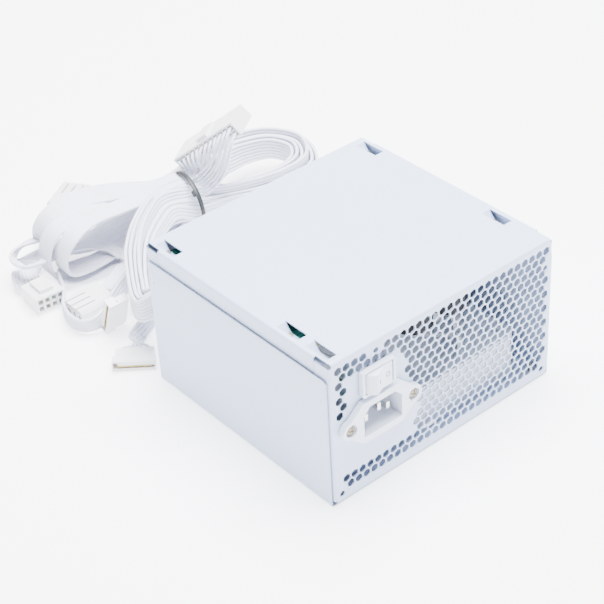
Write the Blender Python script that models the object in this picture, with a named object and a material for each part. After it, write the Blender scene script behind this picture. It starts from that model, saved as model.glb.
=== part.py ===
"""Power supply unit: a 150 x 86 x 140 mm sheet-steel case with its fan, inlet, board and tied cables.

Units are metres. +Z is up, X runs across the width, the rear panel with the mains inlet faces -Y,
the cables leave the front panel at +Y. The unit stands on its fan side, as it lies on a table.
The origin is the bottom centre of everything except the loose cables and their plugs.
"""

import math

import bmesh
import bpy
import numpy as np
from mathutils import Matrix, Vector

MM = 0.001

# Case: the standard outline of a desktop power supply.
WIDTH, DEPTH, HEIGHT = 0.150, 0.140, 0.086
SHEET = 0.0008  # steel sheet of chassis and cover
GAP = 0.0003  # clearance between touching pieces
FLANGE = 0.010  # side flange folded down from the top plate
COVER_HEIGHT = 0.0765  # the cover's sides stop short of the top plate
COVER_SETBACK = 0.0012  # and short of the rear and front panels

# Case-screw pattern of the rear panel, measured from its lower left corner.
CASE_SCREWS = ((0.006, 0.006), (0.144, 0.006), (0.144, 0.070), (0.030, 0.080))
CASE_SCREW_BORE = 0.0031

# Vent grille of the rear panel.
VENT_PITCH = 0.0102
VENT_HOLE = 0.0088  # across the flats
VENT_SIDE_MARGIN = 0.0085
VENT_TOP, VENT_ROWS = 0.0776, 8

# Lanced stand-offs that carry the board: the cut edge's X, and the middle of its length in Y.
LOUVRE_CUT, LOUVRE_WIDTH, LOUVRE_DEPTH = 0.0158, 0.0062, 0.0052
LOUVRE_LIP = 0.0077
LOUVRE_LEFT_X, LOUVRE_RIGHT_X = -0.0650, 0.0706
LOUVRE_FRONT, LOUVRE_REAR, LOUVRE_SPARE = 0.1303, 0.0352, 0.0146  # from the rear panel

# Mains inlet and rocker switch on the rear panel.
INLET_X, INLET_Z = -0.0446, 0.0445
INLET_SCREW_SPACING, INLET_PROUD = 0.040, 0.0033
INLET_BODY_W, INLET_BODY_H = 0.0276, 0.0240
INLET_MOUTH_W, INLET_MOUTH_H, INLET_MOUTH_DEPTH = 0.0242, 0.0168, 0.0165
INLET_WALL = 0.0016
SWITCH_X, SWITCH_Z = -0.0460, 0.0662
BEZEL_W, BEZEL_H, BEZEL_PROUD = 0.0210, 0.0146, 0.0030
ROCKER_RADIUS, ROCKER_HEIGHT = 0.0086, 0.0118
ROCKER_PIVOT_DEPTH = 0.0038  # pivot behind the bezel's face
ROCKER_EDGE_ANGLE = math.radians(44.5)
ROCKER_TILT = math.radians(15)  # each way from level

# Fan and its opening in the cover.
FAN_SIZE, FAN_THICK, FAN_HOLE_SPACING = 0.120, 0.025, 0.105
FAN_BORE, FAN_HUB = 0.0585, 0.0200  # radii
FAN_BLADES = 7
FAN_STEP, FAN_SCREW_BORE, SPIDER = 0.0008, 0.00215, 0.0035  # the spider's bars are square
HUB_FOOT, HUB_BORE, SHAFT_RADIUS = 0.0020, 0.0018, 0.0015
BLADE_CLEARANCE, BLADE_ROOT, BLADE_INSET, BLADE_THICK = 0.0028, 0.0015, 0.0010, 0.0016
RECESS_DEPTH, RECESS_SIDE = 0.0040, 0.1150
GUARD_WIRE, GUARD_EYE = 0.0007, 0.0030  # radii
GUARD_RINGS = (0.016, 0.030, 0.044, 0.055)

# Screws: (radius, length) of each head and shank.
COVER_SCREW_HEAD, COVER_SCREW_SHANK = (0.0028, 0.0012), (0.00145, 0.0050)
FAN_SCREW_HEAD, FAN_SCREW_SHANK = (0.0034, 0.0016), (0.0018, 0.0125)
INLET_SCREW_HEAD, INLET_SCREW_SHANK = (0.0030, 0.0012), (0.0015, 0.0075)
BOARD_SCREW_HEAD, BOARD_SCREW_SHANK = (0.0029, 0.0020), (0.0015, 0.0040)
SMALL_BORE = 0.0018  # clearance hole of the inlet's, the board's and the cover's screws

# Board: solder side up, hung from the stand-offs.
BOARD_THICK = 0.0016
BOARD_EDGE = 0.0020  # margin to the side flanges
BOARD_LENGTH = 0.1060
INNER_LEAD_RADIUS = 0.0011

# Cable outlet in the front panel.
EXIT_X, EXIT_Z, EXIT_BORE = -0.0450, 0.0430, 0.0120
GROMMET_LIP, GROMMET_WALL = 0.0020, 0.0015

# Output cables: a lead from the outlet, a tied hank and the plugs that lie round it.
LEAD_RADIUS = 0.0090
WAIST_X, WAIST_Y, WAIST_Z, WAIST_RADIUS = (0.008, 0.040), 0.1710, 0.0205, 0.0170
BELT_THICK, RING_THICK, RING_HEIGHT = 0.0080, 0.0120, 0.0190
TIE_X, TIE_WIRE = 0.0220, 0.0011
BAND_STEPS = 3
PIN_PITCH, PLUG_WALL, PLUG_DEPTH = 0.0042, 0.0006, 0.0185
LATCH_PROUD, NOTCH_LENGTH = 0.0022, 0.0100
PERIPHERAL_SIZE, BARREL_PITCH, BARREL_BORE = (0.0235, 0.0210, 0.0085), 0.00508, 0.0017
SATA_SIZE = (0.0235, 0.0135, 0.0062)

# The rocker and the grommet stand proud of the panels, and the origin is midway between them.
ROCKER_PROUD = (
    GAP + BEZEL_PROUD - ROCKER_PIVOT_DEPTH
    + ROCKER_RADIUS * math.cos(ROCKER_EDGE_ANGLE - ROCKER_TILT)
)
GROMMET_PROUD = GAP + GROMMET_LIP
REAR = -DEPTH / 2 + (ROCKER_PROUD - GROMMET_PROUD) / 2
FRONT = REAR + DEPTH
COVER_REAR, COVER_FRONT = REAR + COVER_SETBACK, FRONT - COVER_SETBACK
CHASSIS_X = WIDTH / 2 - SHEET - GAP  # outer face of the chassis flanges
CHASSIS_FLOOR = SHEET + GAP
BOARD_TOP = HEIGHT - LOUVRE_DEPTH - SHEET - GAP
BOARD_BOTTOM = BOARD_TOP - BOARD_THICK
FAN_BASE = RECESS_DEPTH + SHEET + GAP
FAN_Y = (REAR + FRONT) / 2

COLOURS = {
    "powder_white": ((0.82, 0.85, 0.89), 0.45, 0.0),
    "moulded_white": ((0.84, 0.85, 0.87), 0.35, 0.0),
    "cable_white": ((0.83, 0.83, 0.86), 0.50, 0.0),
    "plug_white": ((0.83, 0.84, 0.82), 0.40, 0.0),
    "black_plastic": ((0.03, 0.03, 0.03), 0.50, 0.0),
    "zinc": ((0.62, 0.60, 0.55), 0.35, 1.0),
    "nickel": ((0.70, 0.69, 0.66), 0.25, 1.0),
    "aluminium": ((0.75, 0.76, 0.78), 0.40, 1.0),
    "board_green": ((0.03, 0.22, 0.15), 0.50, 0.0),
    "core_yellow": ((0.75, 0.62, 0.12), 0.50, 0.0),
    "sleeve_black": ((0.04, 0.04, 0.05), 0.40, 0.0),
    "lead_brown": ((0.22, 0.10, 0.04), 0.50, 0.0),
    "lead_blue": ((0.05, 0.15, 0.55), 0.50, 0.0),
    "lead_earth": ((0.45, 0.65, 0.05), 0.50, 0.0),
}


def material(name):
    """The Principled material of that name, made when it is first asked for."""
    found = bpy.data.materials.get(name)
    if found:
        return found
    made = bpy.data.materials.new(name)
    made.use_nodes = True
    shader = made.node_tree.nodes["Principled BSDF"]
    colour, rough, metal = COLOURS[name]
    shader.inputs["Base Color"].default_value = (*colour, 1)
    shader.inputs["Roughness"].default_value = rough
    shader.inputs["Metallic"].default_value = metal
    return made


# ---------------------------------------------------------------- mesh helpers


def solid(name, bm, finish, at=(0, 0, 0), smooth=False):
    """An object of that name from a bmesh, with its origin at a point and the mesh given about it."""
    bmesh.ops.recalc_face_normals(bm, faces=bm.faces)
    mesh = bpy.data.meshes.new(name)
    bm.to_mesh(mesh)
    bm.free()
    if smooth:
        mesh.shade_smooth()
        mesh.set_sharp_from_angle(angle=math.radians(35))
    mesh.materials.append(material(finish))
    made = bpy.data.objects.new(name, mesh)
    made.location = at
    bpy.context.scene.collection.objects.link(made)
    return made


def tool(target, bm, operation="DIFFERENCE"):
    """Applies a hidden helper to a target with an exact Boolean. The bmesh is in world space."""
    helper = solid(f"{target.name}_{operation.lower()}_{len(target.modifiers)}", bm, "zinc")
    helper.hide_render = True
    helper.display_type = "WIRE"
    modifier = target.modifiers.new(operation.title(), "BOOLEAN")
    modifier.operation = operation
    modifier.solver = "EXACT"
    modifier.object = helper
    return target


def add_prism(bm, outline, low, high, axis="Z"):
    """Adds the closed outline, extruded along an axis from low to high.

    The outline's pairs are (x, y) for Z, (x, z) for Y and (y, z) for X.
    """
    place = {
        "Z": lambda a, b, t: (a, b, t),
        "Y": lambda a, b, t: (a, t, b),
        "X": lambda a, b, t: (t, a, b),
    }[axis]
    ends = [[bm.verts.new(place(a, b, t)) for a, b in outline] for t in (low, high)]
    bm.faces.new(ends[0])
    bm.faces.new(ends[1])
    for i in range(len(outline)):
        j = (i + 1) % len(outline)
        bm.faces.new((ends[0][i], ends[0][j], ends[1][j], ends[1][i]))


def add_box(bm, x, y, z):
    """Adds a box from three (low, high) pairs."""
    add_prism(bm, [(x[0], y[0]), (x[1], y[0]), (x[1], y[1]), (x[0], y[1])], *z)


def box(x, y, z):
    bm = bmesh.new()
    add_box(bm, x, y, z)
    return bm


def circle(radius, count, centre=(0, 0), turn=0.0):
    """The corners of a regular polygon about a centre."""
    angles = np.arange(count) * 2 * math.pi / count + turn
    return [(centre[0] + radius * math.cos(a), centre[1] + radius * math.sin(a)) for a in angles]


def rounded(width, height, radius, centre=(0, 0), steps=3):
    """A rectangle's outline with its corners rounded by arcs."""
    points = []
    for k, (sx, sy) in enumerate(((1, 1), (-1, 1), (-1, -1), (1, -1))):
        for i in range(steps + 1):
            a = math.pi / 2 * (k + i / steps)
            points.append((
                centre[0] + sx * (width / 2 - radius) + radius * math.cos(a),
                centre[1] + sy * (height / 2 - radius) + radius * math.sin(a),
            ))
    return points


def turned(profile, count):
    """A bmesh turned about Z from a closed (radius, z) profile that stays off the axis."""
    bm = bmesh.new()
    rings = []
    for i in range(count):
        a = 2 * math.pi * i / count
        rings.append([bm.verts.new((r * math.cos(a), r * math.sin(a), z)) for r, z in profile])
    for i in range(count):
        here, there = rings[i], rings[(i + 1) % count]
        for j in range(len(profile)):
            k = (j + 1) % len(profile)
            bm.faces.new((here[j], there[j], there[k], here[k]))
    return bm


def capped(profile, count):
    """A bmesh turned about Z from an open (radius, z) profile, closed by a flat cap at each end."""
    bm = bmesh.new()
    rings = [[bm.verts.new((*p, z)) for p in circle(r, count)] for r, z in profile]
    bm.faces.new(rings[0])
    bm.faces.new(rings[-1])
    for low, high in zip(rings, rings[1:]):
        for i in range(count):
            j = (i + 1) % count
            bm.faces.new((low[i], low[j], high[j], high[i]))
    return bm


def turn_bm(bm, matrix):
    bmesh.ops.transform(bm, matrix=matrix, verts=bm.verts)
    return bm


def facing_rear(bm):
    """Turns a shape that was made along +Z so that its +Z end points to -Y."""
    return turn_bm(bm, Matrix.Rotation(math.pi / 2, 4, "X"))


def tube(name, points, radius, finish, resolution=2):
    """A round lead along a smooth curve through the given points, with filled caps."""
    knots = [Vector(p) for p in points]
    spans = len(knots) - 1
    smooth = []
    per_span = max(2, min(6, 70 // spans))
    for i in range(spans):
        before, after = knots[max(i - 1, 0)], knots[min(i + 2, spans)]
        a, b = knots[i], knots[i + 1]
        for s in range(per_span):
            t = s / per_span
            smooth.append(0.5 * (
                2 * a + (b - before) * t
                + (2 * before - 5 * a + 4 * b - after) * t ** 2
                + (3 * a - before - 3 * b + after) * t ** 3
            ))
    smooth.append(knots[-1])
    curve = bpy.data.curves.new(name, "CURVE")
    curve.dimensions = "3D"
    curve.bevel_depth = radius
    curve.bevel_resolution = resolution
    curve.use_fill_caps = True
    spline = curve.splines.new("POLY")
    spline.points.add(len(smooth) - 1)
    for point, place in zip(spline.points, smooth):
        point.co = (*place, 1)
    curve.materials.append(material(finish))
    made = bpy.data.objects.new(name, curve)
    bpy.context.scene.collection.objects.link(made)
    return made


# ---------------------------------------------------------------- case


def vent_centres():
    """Centres (x, z) of the grille's hexagons, left out where the inlet, switch and screws are."""
    columns = int((WIDTH - 2 * VENT_SIDE_MARGIN) / VENT_PITCH)
    row_step = VENT_PITCH * math.sin(math.pi / 3)
    margin = VENT_HOLE / 2 + 2 * SHEET
    left = -WIDTH / 2 + VENT_SIDE_MARGIN
    right_of_inlet = INLET_X + INLET_SCREW_SPACING / 2 + INLET_BODY_H / 4 + margin
    below_inlet = INLET_Z - INLET_BODY_H / 2 - VENT_PITCH
    above_switch = SWITCH_Z + BEZEL_H / 2 + margin
    centres = []
    for row in range(VENT_ROWS):
        z = VENT_TOP - row * row_step
        for column in range(columns + 1):
            x = left + (column + 0.5 * (row % 2)) * VENT_PITCH
            in_block = x < right_of_inlet and below_inlet < z < above_switch
            near_screw = any(
                math.dist((x, z), (a - WIDTH / 2, b)) < margin + CASE_SCREW_BORE
                for a, b in CASE_SCREWS
            )
            if not (in_block or near_screw or x > WIDTH / 2 - VENT_SIDE_MARGIN):
                centres.append((x, z))
    return centres


def louvre_places():
    """The (x, y) of each stand-off's cut edge at its middle, the four that carry the board first."""
    return [
        (LOUVRE_LEFT_X, REAR + LOUVRE_FRONT),
        (LOUVRE_LEFT_X, REAR + LOUVRE_REAR),
        (LOUVRE_RIGHT_X, REAR + LOUVRE_FRONT),
        (LOUVRE_RIGHT_X, REAR + LOUVRE_REAR),
        (LOUVRE_LEFT_X, REAR + LOUVRE_SPARE),
    ]


def lip_centre(place):
    return place[0] - LOUVRE_WIDTH / 3, place[1]


def add_trough(bm, place, wall, cut_side):
    """Adds a stand-off's pressed shape: a block whose foot is the lip and whose top is the opening."""
    x, y = place
    top = HEIGHT + (GAP if wall == 0 else -SHEET)
    foot = HEIGHT - LOUVRE_DEPTH - wall
    upper = (x - LOUVRE_WIDTH - wall, x + cut_side, LOUVRE_CUT / 2 + wall)
    lower = (x - LOUVRE_WIDTH * 0.72 - wall, x + cut_side, LOUVRE_LIP / 2 + wall)
    rings = []
    for (low_x, high_x, half), z in ((upper, top), (lower, foot)):
        corners = ((low_x, y - half), (high_x, y - half), (high_x, y + half), (low_x, y + half))
        rings.append([bm.verts.new((a, b, z)) for a, b in corners])
    bm.faces.new(rings[0])
    bm.faces.new(rings[1])
    for i in range(4):
        j = (i + 1) % 4
        bm.faces.new((rings[0][i], rings[0][j], rings[1][j], rings[1][i]))


def make_chassis():
    """Top plate, rear and front panels and their flanges: one folded sheet."""
    chassis = solid("chassis", box(
        (-CHASSIS_X, CHASSIS_X), (REAR, FRONT), (CHASSIS_FLOOR, HEIGHT)), "powder_white")
    hollow = box(
        (-CHASSIS_X + SHEET, CHASSIS_X - SHEET),
        (REAR + SHEET, FRONT - SHEET),
        (CHASSIS_FLOOR + SHEET, HEIGHT - SHEET),
    )
    tool(chassis, hollow)
    fold_rear, fold_front = REAR + FLANGE, FRONT - FLANGE
    windows = box((-WIDTH, WIDTH), (fold_rear, fold_front), (-GAP, HEIGHT - FLANGE))
    tool(chassis, windows)

    troughs = bmesh.new()
    for place in louvre_places():
        add_trough(troughs, place, SHEET, 0.0)
    tool(chassis, troughs, "UNION")
    openings = bmesh.new()
    for place in louvre_places():
        add_trough(openings, place, 0.0, GAP)
    tool(chassis, openings)

    holes = bmesh.new()
    panel = (REAR - SHEET, REAR + 2 * SHEET)
    for centre in vent_centres():
        flat_up = circle(VENT_HOLE / math.sqrt(3), 6, centre, math.pi / 2)
        add_prism(holes, flat_up, *panel, "Y")
    for x, z in CASE_SCREWS:
        add_prism(holes, circle(CASE_SCREW_BORE / 2, 10, (x - WIDTH / 2, z)), *panel, "Y")
    add_prism(holes, inlet_outline(INLET_BODY_W + 2 * GAP, INLET_BODY_H - 2 * MM), *panel, "Y")
    for x in inlet_screw_xs():
        add_prism(holes, circle(SMALL_BORE, 10, (x, INLET_Z)), *panel, "Y")
    switch_hole = rounded(
        BEZEL_W - 2 * MM + GAP, BEZEL_H - 1 * MM + GAP, 0.0005, (SWITCH_X, SWITCH_Z), 1)
    add_prism(holes, switch_hole, *panel, "Y")
    tool(chassis, holes)

    more = bmesh.new()
    outlet = circle(EXIT_BORE + GROMMET_WALL + GAP, 24, (EXIT_X, EXIT_Z))
    add_prism(more, outlet, FRONT - 2 * SHEET, FRONT + SHEET, "Y")
    for place in louvre_places():
        low = HEIGHT - LOUVRE_DEPTH - 2 * SHEET
        add_prism(more, circle(SMALL_BORE, 10, lip_centre(place)), low, HEIGHT)
    for x, y in cover_screw_places():
        add_prism(more, circle(SMALL_BORE, 10, (x, y)), -GAP, CHASSIS_FLOOR + 2 * SHEET)
    return tool(chassis, more)


def cover_screw_places():
    inset = 0.006
    return [
        (sx * (CHASSIS_X - inset), y)
        for sx in (-1, 1)
        for y in (REAR + inset, FRONT - inset)
    ]


def make_cover():
    """The U-shaped fan cover: floor and two sides, with a pressed recess round the fan opening."""
    cover = solid("cover", box(
        (-WIDTH / 2, WIDTH / 2), (COVER_REAR, COVER_FRONT), (0, COVER_HEIGHT)), "powder_white")
    inside = box(
        (-WIDTH / 2 + SHEET, WIDTH / 2 - SHEET), (REAR - SHEET, FRONT + SHEET), (SHEET, HEIGHT))
    tool(cover, inside)

    recess = bmesh.new()
    outer = rounded(RECESS_SIDE + 2 * SHEET, RECESS_SIDE + 2 * SHEET, 0.007, (0, FAN_Y))
    add_prism(recess, outer, SHEET / 2, RECESS_DEPTH + SHEET)
    tool(cover, recess, "UNION")

    cuts = bmesh.new()
    inner = rounded(RECESS_SIDE, RECESS_SIDE, 0.006, (0, FAN_Y))
    add_prism(cuts, inner, -SHEET, RECESS_DEPTH)
    tool(cover, cuts)

    holes = bmesh.new()
    add_prism(holes, circle(FAN_BORE, 48, (0, FAN_Y)), RECESS_DEPTH - SHEET, FAN_BASE)
    for x, y in fan_screw_places():
        add_prism(holes, circle(0.0024, 12, (x, y)), RECESS_DEPTH - SHEET, FAN_BASE)
    for x, y in cover_screw_places():
        sink = capped([(0.0034, -SHEET / 2), (SMALL_BORE, 1.5 * SHEET)], 12)
        merge(holes, turn_bm(sink, Matrix.Translation((x, y, 0))))
    tool(cover, holes)

    corners = bmesh.new()
    for y, step in ((COVER_REAR, 1), (COVER_FRONT, -1)):
        nick = 0.0016
        notch = [
            (y - step * SHEET, COVER_HEIGHT - nick), (y, COVER_HEIGHT - nick),
            (y + step * nick, COVER_HEIGHT), (y + step * nick, COVER_HEIGHT + SHEET),
            (y - step * SHEET, COVER_HEIGHT + SHEET),
        ]
        add_prism(corners, notch, -WIDTH, WIDTH, "X")
    return tool(cover, corners)


def merge(bm, other):
    """Moves another bmesh's shape into this one."""
    mesh = bpy.data.meshes.new("merge")
    other.to_mesh(mesh)
    other.free()
    bm.from_mesh(mesh)
    bpy.data.meshes.remove(mesh)


def screw(name, at, head, shank, countersunk=False):
    """A screw along +Z with its head's outer face at z = 0, given (radius, length) pairs."""
    (head_r, head_l), (shank_r, shank_l) = head, shank
    shoulder = shank_r if countersunk else head_r
    rim = head_r if countersunk else head_r * 0.8
    profile = [(rim, 0.0)]
    if not countersunk:
        profile.append((head_r, head_l * 0.4))
    neck = head_l + GAP if countersunk else head_l
    profile += [(shoulder, head_l), (shank_r, neck), (shank_r, head_l + shank_l)]
    return solid(name, capped(profile, 12), "zinc", at, smooth=True)


def make_cover_screws():
    for number, (x, y) in enumerate(cover_screw_places(), 1):
        screw(f"cover_screw_{number}", (x, y, 0.0001), COVER_SCREW_HEAD, COVER_SCREW_SHANK,
              countersunk=True)


# ---------------------------------------------------------------- fan


def fan_screw_places():
    half = FAN_HOLE_SPACING / 2
    return [(sx * half, FAN_Y + sy * half) for sx in (-1, 1) for sy in (-1, 1)]


def make_fan():
    centre = (0, FAN_Y, FAN_BASE)
    frame_bm = bmesh.new()
    outline = rounded(FAN_SIZE, FAN_SIZE, 0.005)
    add_prism(frame_bm, outline, 0, FAN_THICK)
    frame = solid("fan_frame", frame_bm, "moulded_white", centre)
    bore = bmesh.new()
    add_prism(bore, circle(FAN_BORE - FAN_STEP, 48, (0, FAN_Y)),
              FAN_BASE - SHEET, FAN_BASE + FAN_THICK + SHEET)
    for x, y in fan_screw_places():
        add_prism(bore, circle(FAN_SCREW_BORE, 10, (x, y)),
                  FAN_BASE - SHEET, FAN_BASE + FAN_THICK + SHEET)
    tool(frame, bore)
    spider = bmesh.new()
    spider_z = (FAN_BASE + FAN_THICK - SPIDER, FAN_BASE + FAN_THICK - GAP)
    add_prism(spider, circle(FAN_HUB, 24, (0, FAN_Y)), *spider_z)
    tool(frame, spider, "UNION")
    for turn in (0, 1):
        strut = box((-FAN_BORE - 0.0005, FAN_BORE + 0.0005), (-SPIDER / 2, SPIDER / 2),
                    (spider_z[0] + SHEET / 2, spider_z[1] - SHEET / 2))
        turn_bm(strut, Matrix.Rotation(math.radians(45 + 90 * turn), 4, "Z"))
        tool(frame, turn_bm(strut, Matrix.Translation((0, FAN_Y, 0))), "UNION")

    shaft_top = FAN_THICK - SPIDER - GAP
    axis = bpy.data.objects.new("fan_axis", None)
    axis.location = centre
    bpy.context.scene.collection.objects.link(axis)
    hub_low, hub_high = HUB_FOOT, shaft_top - GAP
    rotor_bm = turned([
        (HUB_BORE, hub_low), (FAN_HUB - HUB_FOOT, hub_low), (FAN_HUB, hub_low + HUB_FOOT),
        (FAN_HUB, hub_high), (HUB_BORE, hub_high),
    ], 28)
    rotor = solid("fan_rotor", rotor_bm, "moulded_white", (0, 0, 0), smooth=True)
    rotor.parent = axis
    for blade in range(FAN_BLADES):
        shape = blade_shape(hub_low + BLADE_INSET, hub_high - BLADE_INSET)
        turn_bm(shape, Matrix.Rotation(2 * math.pi * blade / FAN_BLADES, 4, "Z"))
        tool(rotor, turn_bm(shape, Matrix.Translation(centre)), "UNION")
    shaft = solid("fan_shaft", capped([(SHAFT_RADIUS, hub_low), (SHAFT_RADIUS, shaft_top - 0.0001)], 12),
                  "nickel", (0, 0, 0), smooth=True)
    shaft.parent = axis

    for number, (x, y) in enumerate(fan_screw_places(), 1):
        screw(f"fan_screw_{number}", (x, y, 0.0004), FAN_SCREW_HEAD, FAN_SCREW_SHANK)


def blade_shape(low, high):
    """One swept blade: a twisted strip from inside the hub to the tip, with thickness."""
    bm = bmesh.new()
    tip = FAN_BORE - BLADE_CLEARANCE
    root = FAN_HUB - BLADE_ROOT
    sections = []
    for s in np.linspace(0, 1, 4):
        radius = root + s * (tip - root)
        chord = math.radians(30 + 2 * s)
        sweep = math.radians(16) * s * s
        ring = []
        for side in (0, 1):
            for along in (0, 0.5, 1) if side == 0 else (1, 0.5, 0):
                angle = sweep + (along - 0.5) * chord
                rise = low + BLADE_THICK / 2 + along ** 1.2 * (high - low - 2 * BLADE_THICK)
                z = rise + (BLADE_THICK if side else 0)
                ring.append(bm.verts.new((radius * math.cos(angle), radius * math.sin(angle), z)))
        sections.append(ring)
    bm.faces.new(sections[0])
    bm.faces.new(sections[-1])
    for here, there in zip(sections, sections[1:]):
        for i in range(6):
            j = (i + 1) % 6
            bm.faces.new((here[i], here[j], there[j], there[i]))
    return bm


def make_guard():
    """Wire fan guard: rings on a cross of two bent wires that end in eyes round the fan screws."""
    z = RECESS_DEPTH - GAP - GUARD_WIRE
    reach = FAN_HOLE_SPACING / math.sqrt(2) - GUARD_EYE
    guard = None
    for radius in GUARD_RINGS:
        ring = wire_ring(radius, 32 if radius > 0.02 else 20, (0, FAN_Y, z))
        if guard is None:
            guard = solid("fan_guard", ring, "nickel", (0, 0, 0), smooth=True)
        else:
            tool(guard, ring, "UNION")
    for x, y in fan_screw_places():
        tool(guard, wire_ring(GUARD_EYE, 12, (x, y, z)), "UNION")
    for turn in (45, 135):
        bar = capped([(GUARD_WIRE, -reach), (GUARD_WIRE, reach)], 5)
        turn_bm(bar, Matrix.Rotation(math.pi / 2, 4, "Y"))
        turn_bm(bar, Matrix.Rotation(math.radians(turn), 4, "Z"))
        tool(guard, turn_bm(bar, Matrix.Translation((0, FAN_Y, z + 0.0001))), "UNION")
    return guard


def wire_ring(radius, count, centre):
    profile = [(radius + a, b) for a, b in circle(GUARD_WIRE, 5, turn=math.pi / 2)]
    return turn_bm(turned(profile, count), Matrix.Translation(centre))


# ---------------------------------------------------------------- mains inlet and switch


def inlet_screw_xs():
    return [INLET_X + s * INLET_SCREW_SPACING / 2 for s in (-1, 1)]


def inlet_outline(width, height, cut=0.0045):
    """The inlet's hexagon: a rectangle whose two upper corners are cut off."""
    w, h = width / 2, height / 2
    points = [(-w, -h), (w, -h), (w, h - cut), (w - cut, h), (-w + cut, h), (-w, h - cut)]
    return [(INLET_X + a, INLET_Z + b) for a, b in points]


def flange_outline():
    """The inlet's front flange: the body's rectangle with a round ear for each screw."""
    ear, w, h = 0.0052, INLET_BODY_W / 2 - 0.0012, INLET_BODY_H / 2
    half = INLET_SCREW_SPACING / 2
    points = [(-w, -h), (w, -h)]
    for sign, start in ((1, -0.5), (-1, 0.5)):
        arc = [(sign * half + ear * math.cos(a), ear * math.sin(a))
               for a in np.linspace(math.pi * start, math.pi * (start + 1), 7)]
        points += arc
        if sign == 1:
            points += [(w, h), (-w, h)]
    return [(INLET_X + a, INLET_Z + b) for a, b in points]


def make_inlet():
    """Three-pole mains inlet with its flange outside the panel and its body behind it."""
    face = REAR - GAP - INLET_PROUD
    bm = bmesh.new()
    add_prism(bm, flange_outline(), face, REAR - GAP, "Y")
    inlet = solid("ac_inlet", bm, "moulded_white")
    back = face + INLET_MOUTH_DEPTH + INLET_WALL
    body = bmesh.new()
    add_prism(body, inlet_outline(INLET_BODY_W, INLET_BODY_H - 0.0026), REAR - 2 * GAP, back, "Y")
    tool(inlet, body, "UNION")
    cuts = bmesh.new()
    add_prism(cuts, inlet_outline(INLET_MOUTH_W, INLET_MOUTH_H, 0.0042),
              face - SHEET, face + INLET_MOUTH_DEPTH, "Y")
    for x in inlet_screw_xs():
        add_prism(cuts, circle(0.0019, 10, (x, INLET_Z)), face - SHEET, REAR, "Y")
    tool(inlet, cuts)
    slots = bmesh.new()
    for x in inlet_screw_xs():
        add_prism(slots, circle(0.0034, 14, (x, INLET_Z)), face - SHEET, face + 0.0014, "Y")
    for x, z in inlet_pin_places():
        half_w, half_h = 0.0010 + GAP, 0.0020 + GAP
        add_box(slots, (x - half_w, x + half_w),
                (face + INLET_MOUTH_DEPTH - SHEET, back + SHEET), (z - half_h, z + half_h))
    tool(inlet, slots)

    for name, (x, z) in zip(("line_pin", "earth_pin", "neutral_pin"), inlet_pin_places()):
        start = face + (0.0030 if name == "earth_pin" else 0.0045)
        pin = bmesh.new()
        add_box(pin, (-0.001, 0.001), (0, back + 0.008 - start), (-0.002, 0.002))
        solid(name, pin, "nickel", (x, start, z))
    for number, x in enumerate(inlet_screw_xs(), 1):
        made = screw(f"inlet_screw_{number}", (x, face + 0.0001, INLET_Z),
                     INLET_SCREW_HEAD, INLET_SCREW_SHANK)
        made.rotation_euler = (-math.pi / 2, 0, 0)


def inlet_pin_places():
    """Line and neutral 14 mm apart, earth between them and 4 mm higher, nearer the cut corners."""
    return [(INLET_X - 0.007, INLET_Z - 0.002), (INLET_X, INLET_Z + 0.002),
            (INLET_X + 0.007, INLET_Z - 0.002)]


def make_switch():
    """Snap-in rocker switch. The rocker turns about a vertical pin and rests with its right end in."""
    face = REAR - GAP - BEZEL_PROUD
    pivot_y = face + ROCKER_PIVOT_DEPTH
    body_back = pivot_y + ROCKER_RADIUS + 0.0045
    bm = bmesh.new()
    add_prism(bm, rounded(BEZEL_W, BEZEL_H, 0.0012, (SWITCH_X, SWITCH_Z)), face, REAR - GAP, "Y")
    body = solid("switch_body", bm, "moulded_white")
    rear_part = bmesh.new()
    add_prism(rear_part, rounded(BEZEL_W - 2 * MM, BEZEL_H - 1 * MM, 0.0005,
                                 (SWITCH_X, SWITCH_Z), 1), REAR - 2 * GAP, body_back, "Y")
    tool(body, rear_part, "UNION")
    cavity = bmesh.new()
    half_w, half_h = ROCKER_RADIUS + GAP, ROCKER_HEIGHT / 2 + GAP
    add_box(cavity, (SWITCH_X - half_w, SWITCH_X + half_w),
            (face - SHEET, pivot_y + ROCKER_RADIUS + GAP), (SWITCH_Z - half_h, SWITCH_Z + half_h))
    tool(body, cavity)

    axis = bpy.data.objects.new("rocker_axis", None)
    axis.location = (SWITCH_X, pivot_y, SWITCH_Z)
    axis.rotation_euler = (0, 0, ROCKER_TILT)
    bpy.context.scene.collection.objects.link(axis)
    rocker_bm = bmesh.new()
    add_prism(rocker_bm, rocker_outline(), -ROCKER_HEIGHT / 2, ROCKER_HEIGHT / 2)
    rocker = solid("switch_rocker", rocker_bm, "moulded_white", (0, 0, 0), smooth=True)
    rocker.parent = axis
    bore = turn_bm(capped([(0.0013, -ROCKER_HEIGHT), (0.0013, ROCKER_HEIGHT)], 10),
                   Matrix.Translation((SWITCH_X, pivot_y, SWITCH_Z)))
    tool(rocker, bore)
    reach = half_h - GAP / 3
    solid("rocker_pin", capped([(0.0010, -reach), (0.0010, reach)], 10), "nickel",
          (SWITCH_X, pivot_y, SWITCH_Z), smooth=True)


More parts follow.
